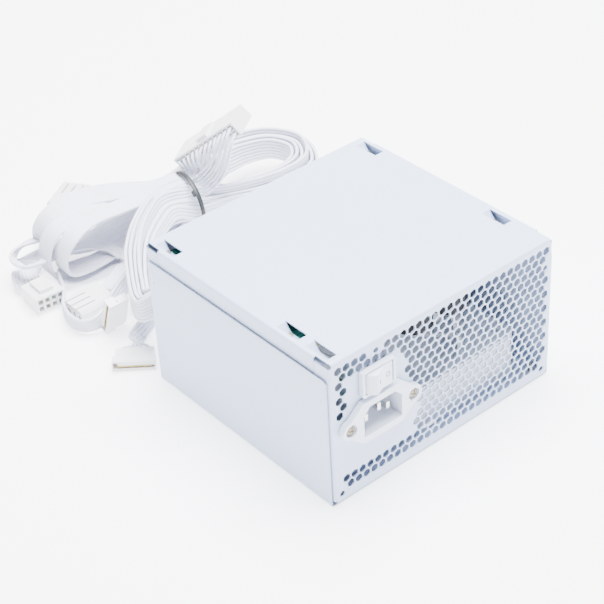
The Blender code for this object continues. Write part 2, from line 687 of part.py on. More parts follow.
def rocker_outline():
    """Section of the rocker about its pivot, level: round ends and a dished face towards -Y."""
    edge = ROCKER_EDGE_ANGLE
    half_chord = ROCKER_RADIUS * math.sin(edge)
    dish_slope = math.radians(19)
    dish_radius = half_chord / math.sin(dish_slope)
    dish_centre = -ROCKER_RADIUS * math.cos(edge) - dish_radius * math.cos(dish_slope)
    dish = [(dish_radius * math.sin(a), dish_centre + dish_radius * math.cos(a))
            for a in np.linspace(-dish_slope, dish_slope, 9)]
    right_end = [(ROCKER_RADIUS * math.sin(a), -ROCKER_RADIUS * math.cos(a))
                 for a in np.linspace(edge, math.radians(100), 6)[1:]]
    left_end = [(-x, y) for x, y in reversed(right_end)]
    nose = [(0.0035, 0.0052), (-0.0035, 0.0052)]
    return dish + right_end + nose + left_end


# ---------------------------------------------------------------- board and what is on it


def board_y():
    middle = REAR + (LOUVRE_FRONT + LOUVRE_REAR) / 2 - 0.003
    return middle - BOARD_LENGTH / 2, min(middle + BOARD_LENGTH / 2, FRONT - FLANGE / 3)


def make_board():
    half = CHASSIS_X - SHEET - BOARD_EDGE
    board = solid("main_board", box((-half, half), board_y(), (BOARD_BOTTOM, BOARD_TOP)),
                  "board_green")
    holes = bmesh.new()
    for place in louvre_places()[:4]:
        add_prism(holes, circle(SMALL_BORE, 10, lip_centre(place)), BOARD_BOTTOM - SHEET, HEIGHT)
    tool(board, holes)
    for number, place in enumerate(louvre_places()[:4], 1):
        x, y = lip_centre(place)
        screw(f"board_screw_{number}", (x, y, BOARD_BOTTOM - GAP - BOARD_SCREW_HEAD[1]),
              BOARD_SCREW_HEAD, BOARD_SCREW_SHANK)


def hang(name, bm, finish, x, y, smooth=False):
    """Puts a component under the board, its foot at z = 0 in its own mesh and hanging down."""
    turn_bm(bm, Matrix.Rotation(math.pi, 4, "X"))
    return solid(name, bm, finish, (x, REAR + y, BOARD_BOTTOM - GAP), smooth)


def can(radius, height):
    """An upright capacitor with a soft rim."""
    rim = 0.0012
    return capped([(radius - rim / 2, 0), (radius, rim / 2), (radius, height - rim),
                   (radius - rim, height)], 18)


def comb(length, height, fins, fin_length):
    """A heatsink: an upright plate with fins along its far edge, as one extruded outline."""
    plate = 0.0030
    pitch = length / fins
    fin = pitch * 0.42
    points = [(-length / 2, 0), (length / 2, 0), (length / 2, plate)]
    for k in range(fins):
        right = length / 2 - (k + 0.29) * pitch
        points += [(right, plate), (right, plate + fin_length),
                   (right - fin, plate + fin_length), (right - fin, plate)]
    points.append((-length / 2, plate))
    bm = bmesh.new()
    add_prism(bm, points, 0, height)
    return bm


def toroid(outer, inner, height, count=20):
    """A wound ring standing on its rim, turned from a rounded rectangle."""
    mid, half = (outer + inner) / 2, (outer - inner) / 2
    corner = half * 0.5
    profile = [
        (mid - half, -height / 2 + corner), (mid - half + corner, -height / 2),
        (mid + half - corner, -height / 2), (mid + half, -height / 2 + corner),
        (mid + half, height / 2 - corner), (mid + half - corner, height / 2),
        (mid - half + corner, height / 2), (mid - half, height / 2 - corner),
    ]
    bm = turned(profile, count)
    turn_bm(bm, Matrix.Rotation(math.pi / 2, 4, "X"))
    return turn_bm(bm, Matrix.Translation((0, 0, outer + 0.0002)))


def transformer(core_x, core_y, height):
    """A ferrite core round a taped winding: a tall core block and a wider winding block."""
    bm = bmesh.new()
    add_box(bm, (-core_x / 2, core_x / 2), (-core_y / 2, core_y / 2), (0.002, height))
    winding = bmesh.new()
    add_box(winding, (-core_x * 0.36, core_x * 0.36), (-core_y * 0.72, core_y * 0.72),
            (0, height * 0.85))
    return bm, winding


def make_components():
    """Power parts, given by X and by the distance from the rear panel."""
    hang("primary_heatsink", comb(0.078, 0.042, 9, 0.011), "aluminium", 0.018, 0.0670)
    hang("secondary_heatsink", comb(0.070, 0.042, 8, 0.011), "aluminium", 0.014, 0.1080)
    for name, x, y, core_x, core_y, height in (
        ("main_transformer", 0.020, 0.0800, 0.035, 0.016, 0.033),
        ("standby_transformer", -0.026, 0.0800, 0.020, 0.010, 0.020),
    ):
        core, winding = transformer(core_x, core_y, height)
        made = hang(name, core, "core_yellow", x, y)
        turn_bm(winding, Matrix.Rotation(math.pi, 4, "X"))
        place = Matrix.Translation((x, REAR + y, BOARD_BOTTOM - GAP))
        tool(made, turn_bm(winding, place), "UNION")
    hang("bulk_capacitor_1", can(0.0110, 0.036), "sleeve_black", 0.040, 0.0400, True)
    hang("bulk_capacitor_2", can(0.0110, 0.036), "sleeve_black", 0.015, 0.0400, True)
    choke = box((-0.010, 0.010), (-0.008, 0.008), (0, 0.022))
    hang("line_choke", choke, "core_yellow", -0.052, 0.0620)
    film = box((-0.009, 0.009), (-0.0042, 0.0042), (0, 0.016))
    hang("mains_capacitor", film, "core_yellow", -0.053, 0.0440)
    hang("output_choke", toroid(0.0125, 0.0055, 0.012), "core_yellow", -0.045, 0.1050, True)
    for number in range(3):
        hang(f"output_capacitor_{number + 1}", can(0.0050, 0.020), "sleeve_black",
             -0.020 + number * 0.0125, 0.1190, True)


def make_inner_leads():
    """Leads from the inlet and switch to the board, the earth lead and the fan lead."""
    radius = INNER_LEAD_RADIUS
    face = REAR - GAP - INLET_PROUD
    back = face + INLET_MOUTH_DEPTH + INLET_WALL + 0.008
    pins = inlet_pin_places()
    under = BOARD_BOTTOM - 2 * GAP
    earth_x, earth_z = -0.0684, 0.0712
    tube("earth_lead", [
        (pins[1][0], back + GAP, pins[1][1]), (pins[1][0] - 0.001, back + 0.006, pins[1][1]),
        (-0.056, REAR + 0.022, 0.050), (-0.066, REAR + 0.012, 0.060),
        (earth_x, REAR + 0.0060, earth_z - 0.003), (-0.068, REAR + 0.010, 0.0715),
        (-0.065, REAR + 0.030, 0.066), (-0.063, REAR + 0.034, under - 0.007),
        (-0.063, REAR + 0.034, under),
    ], radius, "lead_earth")
    tube("line_lead", [
        (pins[0][0], back + GAP, pins[0][1]), (pins[0][0], back + 0.007, pins[0][1] + 0.002),
        (-0.060, REAR + 0.034, 0.054), (-0.0655, REAR + 0.052, 0.062),
        (-0.0660, REAR + 0.055, under - 0.007), (-0.0660, REAR + 0.055, under),
    ], radius, "lead_brown")
    tube("neutral_lead", [
        (pins[2][0], back + GAP, pins[2][1]), (pins[2][0], back + 0.007, pins[2][1] + 0.002),
        (-0.036, REAR + 0.036, 0.056), (-0.037, REAR + 0.046, 0.064),
        (-0.0385, REAR + 0.050, under - 0.007), (-0.0385, REAR + 0.050, under),
    ], radius, "lead_blue")
    fan_top = FAN_BASE + FAN_THICK
    tube("fan_lead", [
        (0.0560, FAN_Y + 0.012, fan_top + GAP + radius), (0.0600, FAN_Y + 0.018, 0.034),
        (0.0640, FAN_Y + 0.026, 0.045), (0.0630, FAN_Y + 0.034, 0.060),
        (0.0600, FAN_Y + 0.040, under - 0.007), (0.0600, FAN_Y + 0.040, under),
    ], radius, "sleeve_black")


# ---------------------------------------------------------------- cable outlet


def make_grommet():
    """A round plastic bush that grips the edge of the outlet hole."""
    neck = EXIT_BORE + GROMMET_WALL
    lip = neck + 0.0025
    half = SHEET / 2 + GAP
    profile = [
        (EXIT_BORE, -half - GROMMET_LIP), (lip - 0.0006, -half - GROMMET_LIP),
        (lip, -half - GROMMET_LIP + 0.0006), (lip, -half), (neck, -half), (neck, half),
        (lip, half), (lip, half + GROMMET_LIP - 0.0006), (lip - 0.0006, half + GROMMET_LIP),
        (EXIT_BORE, half + GROMMET_LIP),
    ]
    bm = facing_rear(turned(profile, 24))
    solid("cable_grommet", bm, "moulded_white", (EXIT_X, FRONT - SHEET / 2, EXIT_Z), smooth=True)


# ---------------------------------------------------------------- output cables


def placed(bm, centre, axes):
    """Turns a shape so that its own X, Y and Z lie along three unit axes about a centre."""
    turn = Matrix([Vector(axis).normalized() for axis in axes]).transposed().to_4x4()
    return turn_bm(turn_bm(bm, turn), Matrix.Translation(centre))


def band(stations):
    """A bmesh swept through stations of (centre, width, thickness, width direction)."""
    knots = [Vector(station[0]) for station in stations]
    bm = bmesh.new()
    rings = []
    last = len(knots) - 1
    for i in range(last):
        for step in range(BAND_STEPS):
            rings.append(band_ring(bm, stations, knots, i, step / BAND_STEPS))
    rings.append(band_ring(bm, stations, knots, last - 1, 1.0))
    bm.faces.new(rings[0])
    bm.faces.new(rings[-1])
    for here, there in zip(rings, rings[1:]):
        for i in range(len(here)):
            j = (i + 1) % len(here)
            bm.faces.new((here[i], here[j], there[j], there[i]))
    return bm


def band_ring(bm, stations, knots, i, t):
    """One cross-section of a band, at the fraction t between station i and the next."""
    last = len(knots) - 1
    a, b = knots[i], knots[i + 1]
    before, after = knots[max(i - 1, 0)], knots[min(i + 2, last)]
    centre = 0.5 * (
        2 * a + (b - before) * t + (2 * before - 5 * a + 4 * b - after) * t ** 2
        + (3 * a - before - 3 * b + after) * t ** 3
    )
    along = (
        (b - before) + 2 * (2 * before - 5 * a + 4 * b - after) * t
        + 3 * (3 * a - before - 3 * b + after) * t ** 2
    ).normalized()
    width, thick = (stations[i][k] * (1 - t) + stations[i + 1][k] * t for k in (1, 2))
    across = Vector(stations[i][3]).lerp(Vector(stations[i + 1][3]), t)
    across = (across - across.dot(along) * along).normalized()
    up = along.cross(across)
    return [
        bm.verts.new(centre + across * x + up * y)
        for x, y in rounded(width, thick, thick * 0.45, steps=2)
    ]


def make_harness():
    """The cables laid together from the outlet to the tie, as one round lead."""
    points = (
        (EXIT_X, FRONT - 0.006, EXIT_Z), (EXIT_X, FRONT + 0.003, EXIT_Z),
        (-0.0520, 0.0845, 0.0410), (-0.0600, 0.0930, 0.0360), (-0.0590, 0.1060, 0.0330),
        (-0.0490, 0.1220, 0.0310), (-0.0360, 0.1350, 0.0280), (-0.0220, 0.1450, 0.0240),
        (-0.0060, 0.1520, 0.0210), (WAIST_X[0] - GAP, 0.1545, 0.0205),
    )
    tube("cable_lead", points, LEAD_RADIUS, "cable_white")


def make_hank():
    """The folded cables: a waist in the tie, a belt loop to the left and a ring to the right."""
    waist = capped([(WAIST_RADIUS, WAIST_X[0]), (WAIST_RADIUS, WAIST_X[1])], 24)
    turn_bm(waist, Matrix.Rotation(math.pi / 2, 4, "Y"))
    turn_bm(waist, Matrix.Translation((0, WAIST_Y, WAIST_Z)))
    hank = solid("cable_hank", waist, "cable_white", smooth=True)
    across, upright = (0, 1, 0), (0, 0, 1)
    belt = [((x * MM, y * MM, z * MM), width * MM, BELT_THICK, across) for x, y, z, width in (
        (21, 172, 28, 22), (8, 175, 30, 24), (-6, 179, 32, 30), (-25, 184, 33, 34),
        (-48, 185, 32, 34), (-60, 186, 27, 34), (-64, 187, 19, 34), (-60, 186, 11, 34),
        (-48, 185, 7.2, 34), (-20, 181, 7, 32), (2, 174, 10, 26), (21, 172, 13, 22),
    )]
    tool(hank, band(belt), "UNION")
    ring = [((x * MM, y * MM, z * MM), RING_HEIGHT, RING_THICK, upright) for x, y, z in (
        (26, 166, 21), (42, 159, 20), (64, 156, 18.5), (84, 154, 18.5), (98, 160, 19.5),
        (103, 174, 21), (95, 187, 23), (77, 190, 24.5), (57, 184, 25), (36, 176, 24),
        (26, 175, 23),
    )]
    tool(hank, band(ring), "UNION")

    tie = turned([(WAIST_RADIUS + GAP + TIE_WIRE + a, b) for a, b in circle(TIE_WIRE, 8)], 32)
    turn_bm(tie, Matrix.Rotation(math.pi / 2, 4, "Y"))
    turn_bm(tie, Matrix.Translation((TIE_X, WAIST_Y, WAIST_Z)))
    solid("cable_tie", tie, "black_plastic", smooth=True)


def power_plug(name, columns, centre, axes):
    """A two-row plug: X along the rows, Y across them, Z from the wires to the mouth."""
    length, height = columns * PIN_PITCH + 2 * PLUG_WALL, 2 * PIN_PITCH + 2 * PLUG_WALL
    half = PLUG_DEPTH / 2
    body = bmesh.new()
    add_box(body, (-length / 2, length / 2), (-height / 2, height / 2), (-half, half))
    plug = solid(name, placed(body, centre, axes), "plug_white")
    latch = bmesh.new()
    add_box(latch, (-PIN_PITCH, PIN_PITCH), (-height / 2 - LATCH_PROUD, -height / 2 + GAP),
            (-half + 2 * MM, half - 4 * MM))
    tool(plug, placed(latch, centre, axes), "UNION")
    cuts = bmesh.new()
    cell = (PIN_PITCH - 2 * PLUG_WALL) / 2
    for column in range(columns):
        x = (column - (columns - 1) / 2) * PIN_PITCH
        for y in (-PIN_PITCH / 2, PIN_PITCH / 2):
            add_box(cuts, (x - cell, x + cell), (y - cell, y + cell), (-half - MM, half + MM))
    tool(plug, placed(cuts, centre, axes))
    notches = bmesh.new()
    for column in range(1, columns):
        x = (column - columns / 2) * PIN_PITCH
        clear_of_latch = abs(x) > PIN_PITCH + MM
        for side in (-1, 1) if clear_of_latch else (1,):
            y = side * height / 2
            add_box(notches, (x - PLUG_WALL / 2, x + PLUG_WALL / 2),
                    (y - PLUG_WALL / 2, y + PLUG_WALL / 2), (half - NOTCH_LENGTH, half + MM))
    return tool(plug, placed(notches, centre, axes))


def peripheral_plug(name, centre, axes):
    """A four-barrel plug: Y across the barrels, and the mouth at -X."""
    length, width, height = PERIPHERAL_SIZE
    x, y, z = length / 2, width / 2, height / 2
    chamfer = 0.0018
    outline = [(-y, -z), (y, -z), (y, z - chamfer), (y - chamfer, z), (chamfer - y, z),
               (-y, z - chamfer)]
    body = bmesh.new()
    add_prism(body, outline, -x, x, "X")
    plug = solid(name, placed(body, centre, axes), "plug_white")
    slits = bmesh.new()
    bores = bmesh.new()
    for number in range(4):
        place = (number - 1.5) * BARREL_PITCH
        if number:
            middle = place - BARREL_PITCH / 2
            slit = 0.0005
            add_box(slits, (-x - MM, -x + length * 0.55), (middle - slit, middle + slit),
                    (z - height * 0.45, z + MM))
        add_prism(bores, circle(BARREL_BORE, 10, (place, -0.0004)), -x - MM, x + MM, "X")
    tool(plug, placed(slits, centre, axes))
    return tool(plug, placed(bores, centre, axes))


def sata_plug(name, centre, axes):
    """A flat fifteen-contact plug: X across, the wires at +Y, and the mouth at -Y."""
    width, depth, height = SATA_SIZE
    y = depth / 2
    body = bmesh.new()
    add_box(body, (MM * 1.2 - width / 2, width / 2 - MM * 1.2), (-y + MM, y),
            (-height * 0.38, height * 0.38))
    plug = solid(name, placed(body, centre, axes), "plug_white")
    flange = bmesh.new()
    add_box(flange, (-width / 2, width / 2), (-y, -y + depth * 0.42), (-height / 2, height / 2))
    tool(plug, placed(flange, centre, axes), "UNION")
    slot = bmesh.new()
    inner = width / 2 - PLUG_WALL
    outline = [(-inner, -0.0014), (inner, -0.0014), (inner, 0.0004), (0.0026 - inner, 0.0004),
               (0.0026 - inner, 0.0022), (-inner, 0.0022)]
    add_prism(slot, outline, -y - MM, -y + depth * 0.5, "Y")
    return tool(plug, placed(slot, centre, axes))


def make_plugs():
    level = ((1, 0, 0), (0, 1, 0), (0, 0, 1))
    power_plug("atx_plug", 12, (0.0439, 0.1719, 0.0556),
               ((0.338, -0.695, 0.634), (0.414, -0.496, -0.764), (0.845, 0.521, 0.12)))
    power_plug("cpu_plug", 4, (-0.0823, 0.1725, 0.0062),
               ((-0.997, 0.075, 0), (0, 0, -1), (-0.075, -0.997, 0)))
    peripheral_plug("peripheral_plug_1", (-0.0672, 0.1492, 0.0046), level)
    peripheral_plug("peripheral_plug_2", (-0.0130, 0.2480, 0.0046),
                    ((-0.85, -0.53, 0), (0.53, -0.85, 0), (0, 0, 1)))
    sata_plug("sata_plug_1", (-0.0776, 0.0914, 0.0034),
              ((0.77, -0.64, 0), (0.64, 0.77, 0), (0, 0, 1)))
    sata_plug("sata_plug_2", (-0.0674, 0.1220, 0.0125),
              ((0, -0.33, 0.944), (1, 0, 0), (0, 0.944, 0.33)))


def main():
    for old in list(bpy.data.objects):
        bpy.data.objects.remove(old)
    make_chassis()
    make_cover()
    make_cover_screws()
    make_fan()
    make_guard()
    make_inlet()
    make_switch()
    make_board()
    make_components()
    make_inner_leads()
    make_grommet()
    make_harness()
    make_hank()
    make_plugs()


main()
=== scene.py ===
# %% [markdown]
# # A power supply unit with its tied cables
#
# The object is a white steel box that feeds a desktop computer, with a hank of flat white
# cables behind it. The steel, the moulded parts and the wires are built in the place that the
# CAD model gives, each as its own object, and the CAD solids that they stand for are hidden.
# Lengths are in metres, the rear panel faces -Y, and +Z is up.

# %% Load the frame
import math

import bmesh
import bpy
import numpy as np
from mathutils import Matrix, Vector
from mathutils.geometry import delaunay_2d_cdt


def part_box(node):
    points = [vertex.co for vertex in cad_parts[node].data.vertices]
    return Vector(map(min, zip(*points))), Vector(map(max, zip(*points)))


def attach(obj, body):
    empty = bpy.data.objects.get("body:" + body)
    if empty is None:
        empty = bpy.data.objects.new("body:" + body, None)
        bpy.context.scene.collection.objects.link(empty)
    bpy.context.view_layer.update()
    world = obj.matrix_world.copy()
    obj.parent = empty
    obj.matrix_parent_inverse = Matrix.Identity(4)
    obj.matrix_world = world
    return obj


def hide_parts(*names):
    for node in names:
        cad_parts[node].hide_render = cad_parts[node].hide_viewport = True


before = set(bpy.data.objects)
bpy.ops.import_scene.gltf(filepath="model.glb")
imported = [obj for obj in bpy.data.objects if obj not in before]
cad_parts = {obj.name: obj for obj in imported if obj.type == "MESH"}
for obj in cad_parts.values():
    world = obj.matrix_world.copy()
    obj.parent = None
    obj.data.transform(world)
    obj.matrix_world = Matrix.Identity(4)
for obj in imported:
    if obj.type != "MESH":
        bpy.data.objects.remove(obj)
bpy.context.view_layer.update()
MM = 0.001

# %% [markdown]
# ## Camera, floor and light
#
# The camera looks down on the rear panel's left corner with a long lens, so the box's edges
# stay almost parallel. Its three axes are written out, because the view is rolled a few
# degrees and a track-to constraint would level it. A big soft light above, two weak fills and a
# white world give the even, nearly shadowless light of a product studio.

# %% Camera
camera = bpy.data.objects.new("camera", bpy.data.cameras.new("camera"))
bpy.context.scene.collection.objects.link(camera)
right = Vector((0.75974, -0.64828, -0.05032))
down = Vector((-0.41372, -0.42224, -0.80657))
forward = Vector((0.50163, 0.63360, -0.58900))
turn = Matrix((right, -down, -forward)).transposed()
camera.matrix_world = Matrix.Translation((-0.44788, -0.52405, 0.55304)) @ turn.to_4x4()
camera.data.sensor_width = 36
camera.data.lens = 99.69
camera.data.clip_start, camera.data.clip_end = 0.01, 20
bpy.context.scene.camera = camera
print("camera is", round(camera.location.length, 3), "m from the object's foot")


# %% Floor and lights
def soft_light(name, place, size, power, colour=(1, 1, 1)):
    """A square area light at a place, turned to face the middle of the object."""
    light = bpy.data.lights.new(name, "AREA")
    light.shape, light.size, light.energy, light.color = "SQUARE", size, power, colour
    obj = bpy.data.objects.new(name, light)
    bpy.context.scene.collection.objects.link(obj)
    obj.location = place
    aim = Vector((0, 0.05, 0.04)) - Vector(place)
    obj.rotation_euler = aim.to_track_quat("-Z", "Y").to_euler()


soft_light("key", (0.25, 0.1, 1.7), 1.5, 245.0, (0.93, 0.965, 1.0))
soft_light("rear_fill", (0.3, -1.5, 0.7), 1.2, 9.0, (0.96, 0.98, 1.0))
soft_light("left_fill", (-1.5, 0.1, 0.6), 1.0, 0.3, (0.85, 0.93, 1.0))

world = bpy.data.worlds.new("studio")
world.use_nodes = True
world.node_tree.nodes["Background"].inputs["Color"].default_value = (1, 1, 1, 1)
world.node_tree.nodes["Background"].inputs["Strength"].default_value = 0.5
bpy.context.scene.world = world

floor_mesh = bpy.data.meshes.new("floor")
floor_mesh.from_pydata([(-6, -6, 0), (6, -6, 0), (6, 6, 0), (-6, 6, 0)], [], [(0, 1, 2, 3)])
floor = bpy.data.objects.new("floor", floor_mesh)
bpy.context.scene.collection.objects.link(floor)
print("floor and three lights in place")

# %% [markdown]
# ## Finishes
#
# Every finish is a small recipe of nodes. Shader maths is written as ordinary Python: a Wire
# holds one socket, and adding or multiplying two of them makes the Math node for it. Colours
# go through Mix nodes instead, because a Math node would turn them grey.


# %% A socket that can be added and multiplied
class Wire:
    """One socket of a material, on which the usual signs add Math nodes."""

    def __init__(self, tree, socket=None):
        self.tree, self.socket = tree, socket

    def node(self, kind, settings, sockets, output=0):
        """Any node: its type, its settings (a ramp's stops among them), then its sockets."""
        made = self.tree.nodes.new("ShaderNode" + kind)
        for name, value in settings.items():
            if name == "stops":
                ramp = made.color_ramp.elements
                while len(ramp) < len(value):
                    ramp.new(0.5)
                for stop, (place, shade) in zip(ramp, value):
                    stop.position, stop.color = place, (*shade, 1)
            else:
                setattr(made, name, value)
        self.into(made, sockets)
        return Wire(self.tree, made.outputs[output])

    def into(self, made, sockets):
        """Feeds a node's sockets with links or with plain values."""
        for name, value in sockets.items():
            socket = made.inputs[name]
            if isinstance(value, Wire):
                self.tree.links.new(value.socket, socket)
            elif isinstance(value, tuple) and socket.type == "RGBA":
                socket.default_value = (*value, 1)
            else:
                socket.default_value = value

    def maths(self, operation, first, second):
        return self.node("Math", {"operation": operation}, {0: first, 1: second})

    def __add__(self, other):
        return self.maths("ADD", self, other)

    def __sub__(self, other):
        return self.maths("SUBTRACT", self, other)

    def __rsub__(self, other):
        return self.maths("SUBTRACT", other, self)

    def __mul__(self, other):
        return self.maths("MULTIPLY", self, other)

    def __gt__(self, other):
        return self.maths("GREATER_THAN", self, other)

    __radd__, __rmul__ = __add__, __mul__

    def noise(self, scale, detail=2.0, at=None):
        """Cloudy noise between 0 and 1, of `scale` clouds a metre, on Object coordinates."""
        at = at or self.place()
        return self.node("TexNoise", {}, {"Vector": at, "Scale": scale, "Detail": detail})

    def place(self):
        return self.node("TexCoord", {}, {}, "Object")

    def axis(self, name, vector):
        return self.node("SeparateXYZ", {}, {0: vector}, name)

    def mix(self, factor, first, second):
        """A colour between two colours, by a factor from 0 to 1."""
        sockets = {"Factor": factor, 6: first, 7: second}
        return self.node("Mix", {"data_type": "RGBA"}, sockets, 2)

    def bump(self, height, distance, strength=1.0):
        sockets = {"Height": height, "Distance": distance, "Strength": strength}
        return self.node("Bump", {}, sockets)


FINISHES = {}


def finish(name, paint):
    """A material for one slot of the record: paint gives what goes into the shader's sockets."""
    made = bpy.data.materials.new(name + "_finish")
    made.use_nodes = True
    start = Wire(made.node_tree)
    start.into(made.node_tree.nodes["Principled BSDF"], paint(start))
    FINISHES[name] = made
    print("finish", name, "has", len(made.node_tree.nodes), "nodes")


# %% [markdown]
# ### Painted steel
#
# Powder coat is baked paint. Melted grains leave a fine orange peel, about a millimetre across
# and a hundredth of a millimetre deep, over a colour that hardly varies. Two noises at
# different scales give the peel and the slight cloudiness of its gloss.


# %% Painted steel
def powder_coat(start):
    clouds = start.noise(18, 3)
    peel = start.noise(1400, 2)
    return {
        "Base Color": start.mix(clouds, (0.515, 0.595, 0.79), (0.545, 0.625, 0.81)),
        "Roughness": start.noise(60, 4) * 0.12 + 0.36,
        "Specular IOR Level": 0.45,
        "Normal": start.bump(peel, 0.02 * MM, 0.55),
    }


finish("powder_white", powder_coat)

# %% [markdown]
# ### Moulded plastics
#
# The inlet, the switch and the plugs are nylon: whiter and smoother than the paint, with light
# that enters a little way and comes out again. Spark-eroded moulds leave a fine grain.


# %% Moulded plastics
def moulded(dark, light, rough, glow):
    """A plastic between two close shades, with mould grain and a share of light from inside."""

    def paint(start):
        grain = start.noise(2600, 3)
        return {
            "Base Color": start.mix(start.noise(90, 3), dark, light),
            "Roughness": start.noise(300, 3) * 0.14 + rough,
            "Subsurface Weight": glow,
            "Subsurface Scale": 0.6 * MM,
            "Normal": start.bump(grain, 0.012 * MM, 0.6),
        }

    return paint


finish("moulded_white", moulded((0.66, 0.70, 0.81), (0.72, 0.755, 0.85), 0.30, 0.1))
finish("plug_white", moulded((0.76, 0.76, 0.75), (0.83, 0.83, 0.815), 0.28, 0.15))
finish("black_plastic", moulded((0.012, 0.012, 0.013), (0.028, 0.028, 0.030), 0.38, 0.0))

# %% [markdown]
# ### Cable covering
#
# The flat cables are soft PVC, a cold white with a silky shine. The extruder leaves faint lines
# along the wires and the colour clouds slightly over a few centimetres of length, so the noise
# is stretched along the cable with the piece's own UV map: U runs along it, V across it.


# %% Cable covering
def soft_vinyl(start):
    along = start.node("UVMap", {"uv_map": "run"}, {})
    lines = start.node("Mapping", {}, {"Vector": along, "Scale": (12.0, 900.0, 1.0)})
    cloud = start.noise(35, 3)
    return {
        "Base Color": start.mix(cloud, (0.68, 0.685, 0.785), (0.745, 0.75, 0.83)),
        "Roughness": start.noise(1.0, 3, lines) * 0.16 + 0.33,
        "Subsurface Weight": 0.12,
        "Subsurface Scale": 0.8 * MM,
        "Normal": start.bump(start.noise(1.0, 2, lines), 0.015 * MM, 0.5),
    }


finish("cable_white", soft_vinyl)

# %% [markdown]
# ### Metals
#
# Zinc plate on screws is dull, with passivation that shifts from grey to straw. Nickel is
# brighter and smoother, brass contacts are warm, and the extruded aluminium of the heatsinks
# has drawing lines along it. Metal shows mostly in its roughness, so that is what varies.


# %% Metals
def metal(dark, light, rough, spread, stretch=(1, 1, 1)):
    """A metal between two shades; stretch squeezes its streaks along one axis."""

    def paint(start):
        place = start.node("Mapping", {}, {"Vector": start.place(), "Scale": stretch})
        streaks = start.noise(700, 3, place)
        return {
            "Base Color": start.mix(start.noise(220, 3), dark, light),
            "Metallic": 1.0,
            "Roughness": streaks * spread + rough,
            "Normal": start.bump(streaks, 0.01 * MM, 0.4),
        }

    return paint


finish("zinc", metal((0.50, 0.43, 0.30), (0.62, 0.57, 0.46), 0.26, 0.2))
finish("nickel", metal((0.58, 0.57, 0.55), (0.70, 0.69, 0.66), 0.16, 0.14))
finish("screw_brown", metal((0.16, 0.12, 0.085), (0.34, 0.29, 0.23), 0.30, 0.2))
finish("brass", metal((0.66, 0.46, 0.14), (0.80, 0.60, 0.24), 0.2, 0.12))
finish("aluminium", metal((0.66, 0.67, 0.69), (0.76, 0.77, 0.78), 0.28, 0.2, (1, 1, 0.03)))

# %% [markdown]
# ### Inside the case
#
# The board's lacquer is green over copper tracks, which a stepped Voronoi pattern suggests:
# its cells are the copper fields and its edges the bare gaps. The wound parts wear yellow
# tape, with the edge of each turn showing. The earth wire is green with a yellow stripe
# winding round it.


# %% Inside the case
def board_lacquer(start):
    cells = {"feature": "DISTANCE_TO_EDGE"}
    gap = start.node("TexVoronoi", cells, {"Vector": start.place(), "Scale": 210.0})
    copper = gap > 0.08
    return {
        "Base Color": start.mix(copper, (0.010, 0.10, 0.065), (0.025, 0.21, 0.135)),
        "Roughness": start.noise(160, 2) * 0.2 + 0.22,
        "Normal": start.bump(copper, 0.04 * MM, 0.6),
    }


def wound_tape(start):
    height = start.axis("Z", start.place())
    turns = start.node("Math", {"operation": "PINGPONG"}, {0: height, 1: 1.2 * MM})
    edge = turns > 1.05 * MM
    return {
        "Base Color": start.mix(edge, (0.70, 0.55, 0.08), (0.42, 0.30, 0.05)),
        "Roughness": start.noise(240, 3) * 0.2 + 0.25,
        "Normal": start.bump(turns, 0.2 * MM, 0.5),
    }


def wire_colour(first, second, share):
    """Wire insulation in one colour, with a stripe of another over a share of its length."""

    def paint(start):
        height = start.axis("Z", start.place())
        turn = start.node("Math", {"operation": "PINGPONG"}, {0: height, 1: 2.2 * MM})
        return {
            "Base Color": start.mix(turn > (1 - share) * 2.2 * MM, first, second),
            "Roughness": start.noise(200, 2) * 0.2 + 0.32,
            "Normal": start.bump(start.noise(500, 2), 0.02 * MM, 0.4),
        }

    return paint


finish("board_green", board_lacquer)
finish("core_yellow", wound_tape)
finish("sleeve_black", moulded((0.007, 0.007, 0.009), (0.014, 0.014, 0.018), 0.42, 0.0))
finish("lead_brown", wire_colour((0.17, 0.07, 0.03), (0.22, 0.09, 0.04), 0.3))
finish("lead_blue", wire_colour((0.03, 0.10, 0.42), (0.05, 0.14, 0.50), 0.3))
finish("lead_earth", wire_colour((0.10, 0.33, 0.06), (0.72, 0.70, 0.06), 0.45))


# %% Floor finish
def paper(start):
    """White paper that glows a little, as a lit studio sweep does."""
    return {
        "Base Color": start.mix(start.noise(3, 2), (0.90, 0.90, 0.905), (0.93, 0.93, 0.935)),
        "Roughness": 0.9,
        "Emission Color": (1.0, 1.0, 1.0),
        "Emission Strength": 1.8,
    }


finish("paper_white", paper)
floor.data.materials.append(FINISHES["paper_white"])

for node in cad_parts.values():
    slot = node.data.materials[0].name.split(".")[0]
    node.data.materials[0] = FINISHES[slot]
print(len(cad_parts), "CAD nodes have their finishes")

# %% [markdown]
# ## Paths and tubes
#
# A cable is a cross-section carried along a path. The path goes through a short list of points
# as a Catmull-Rom curve, which passes through every point and bends smoothly between them.
# Each point also carries the direction of the cable's width, so a flat cable can lie down, stand
# on edge or fold over.


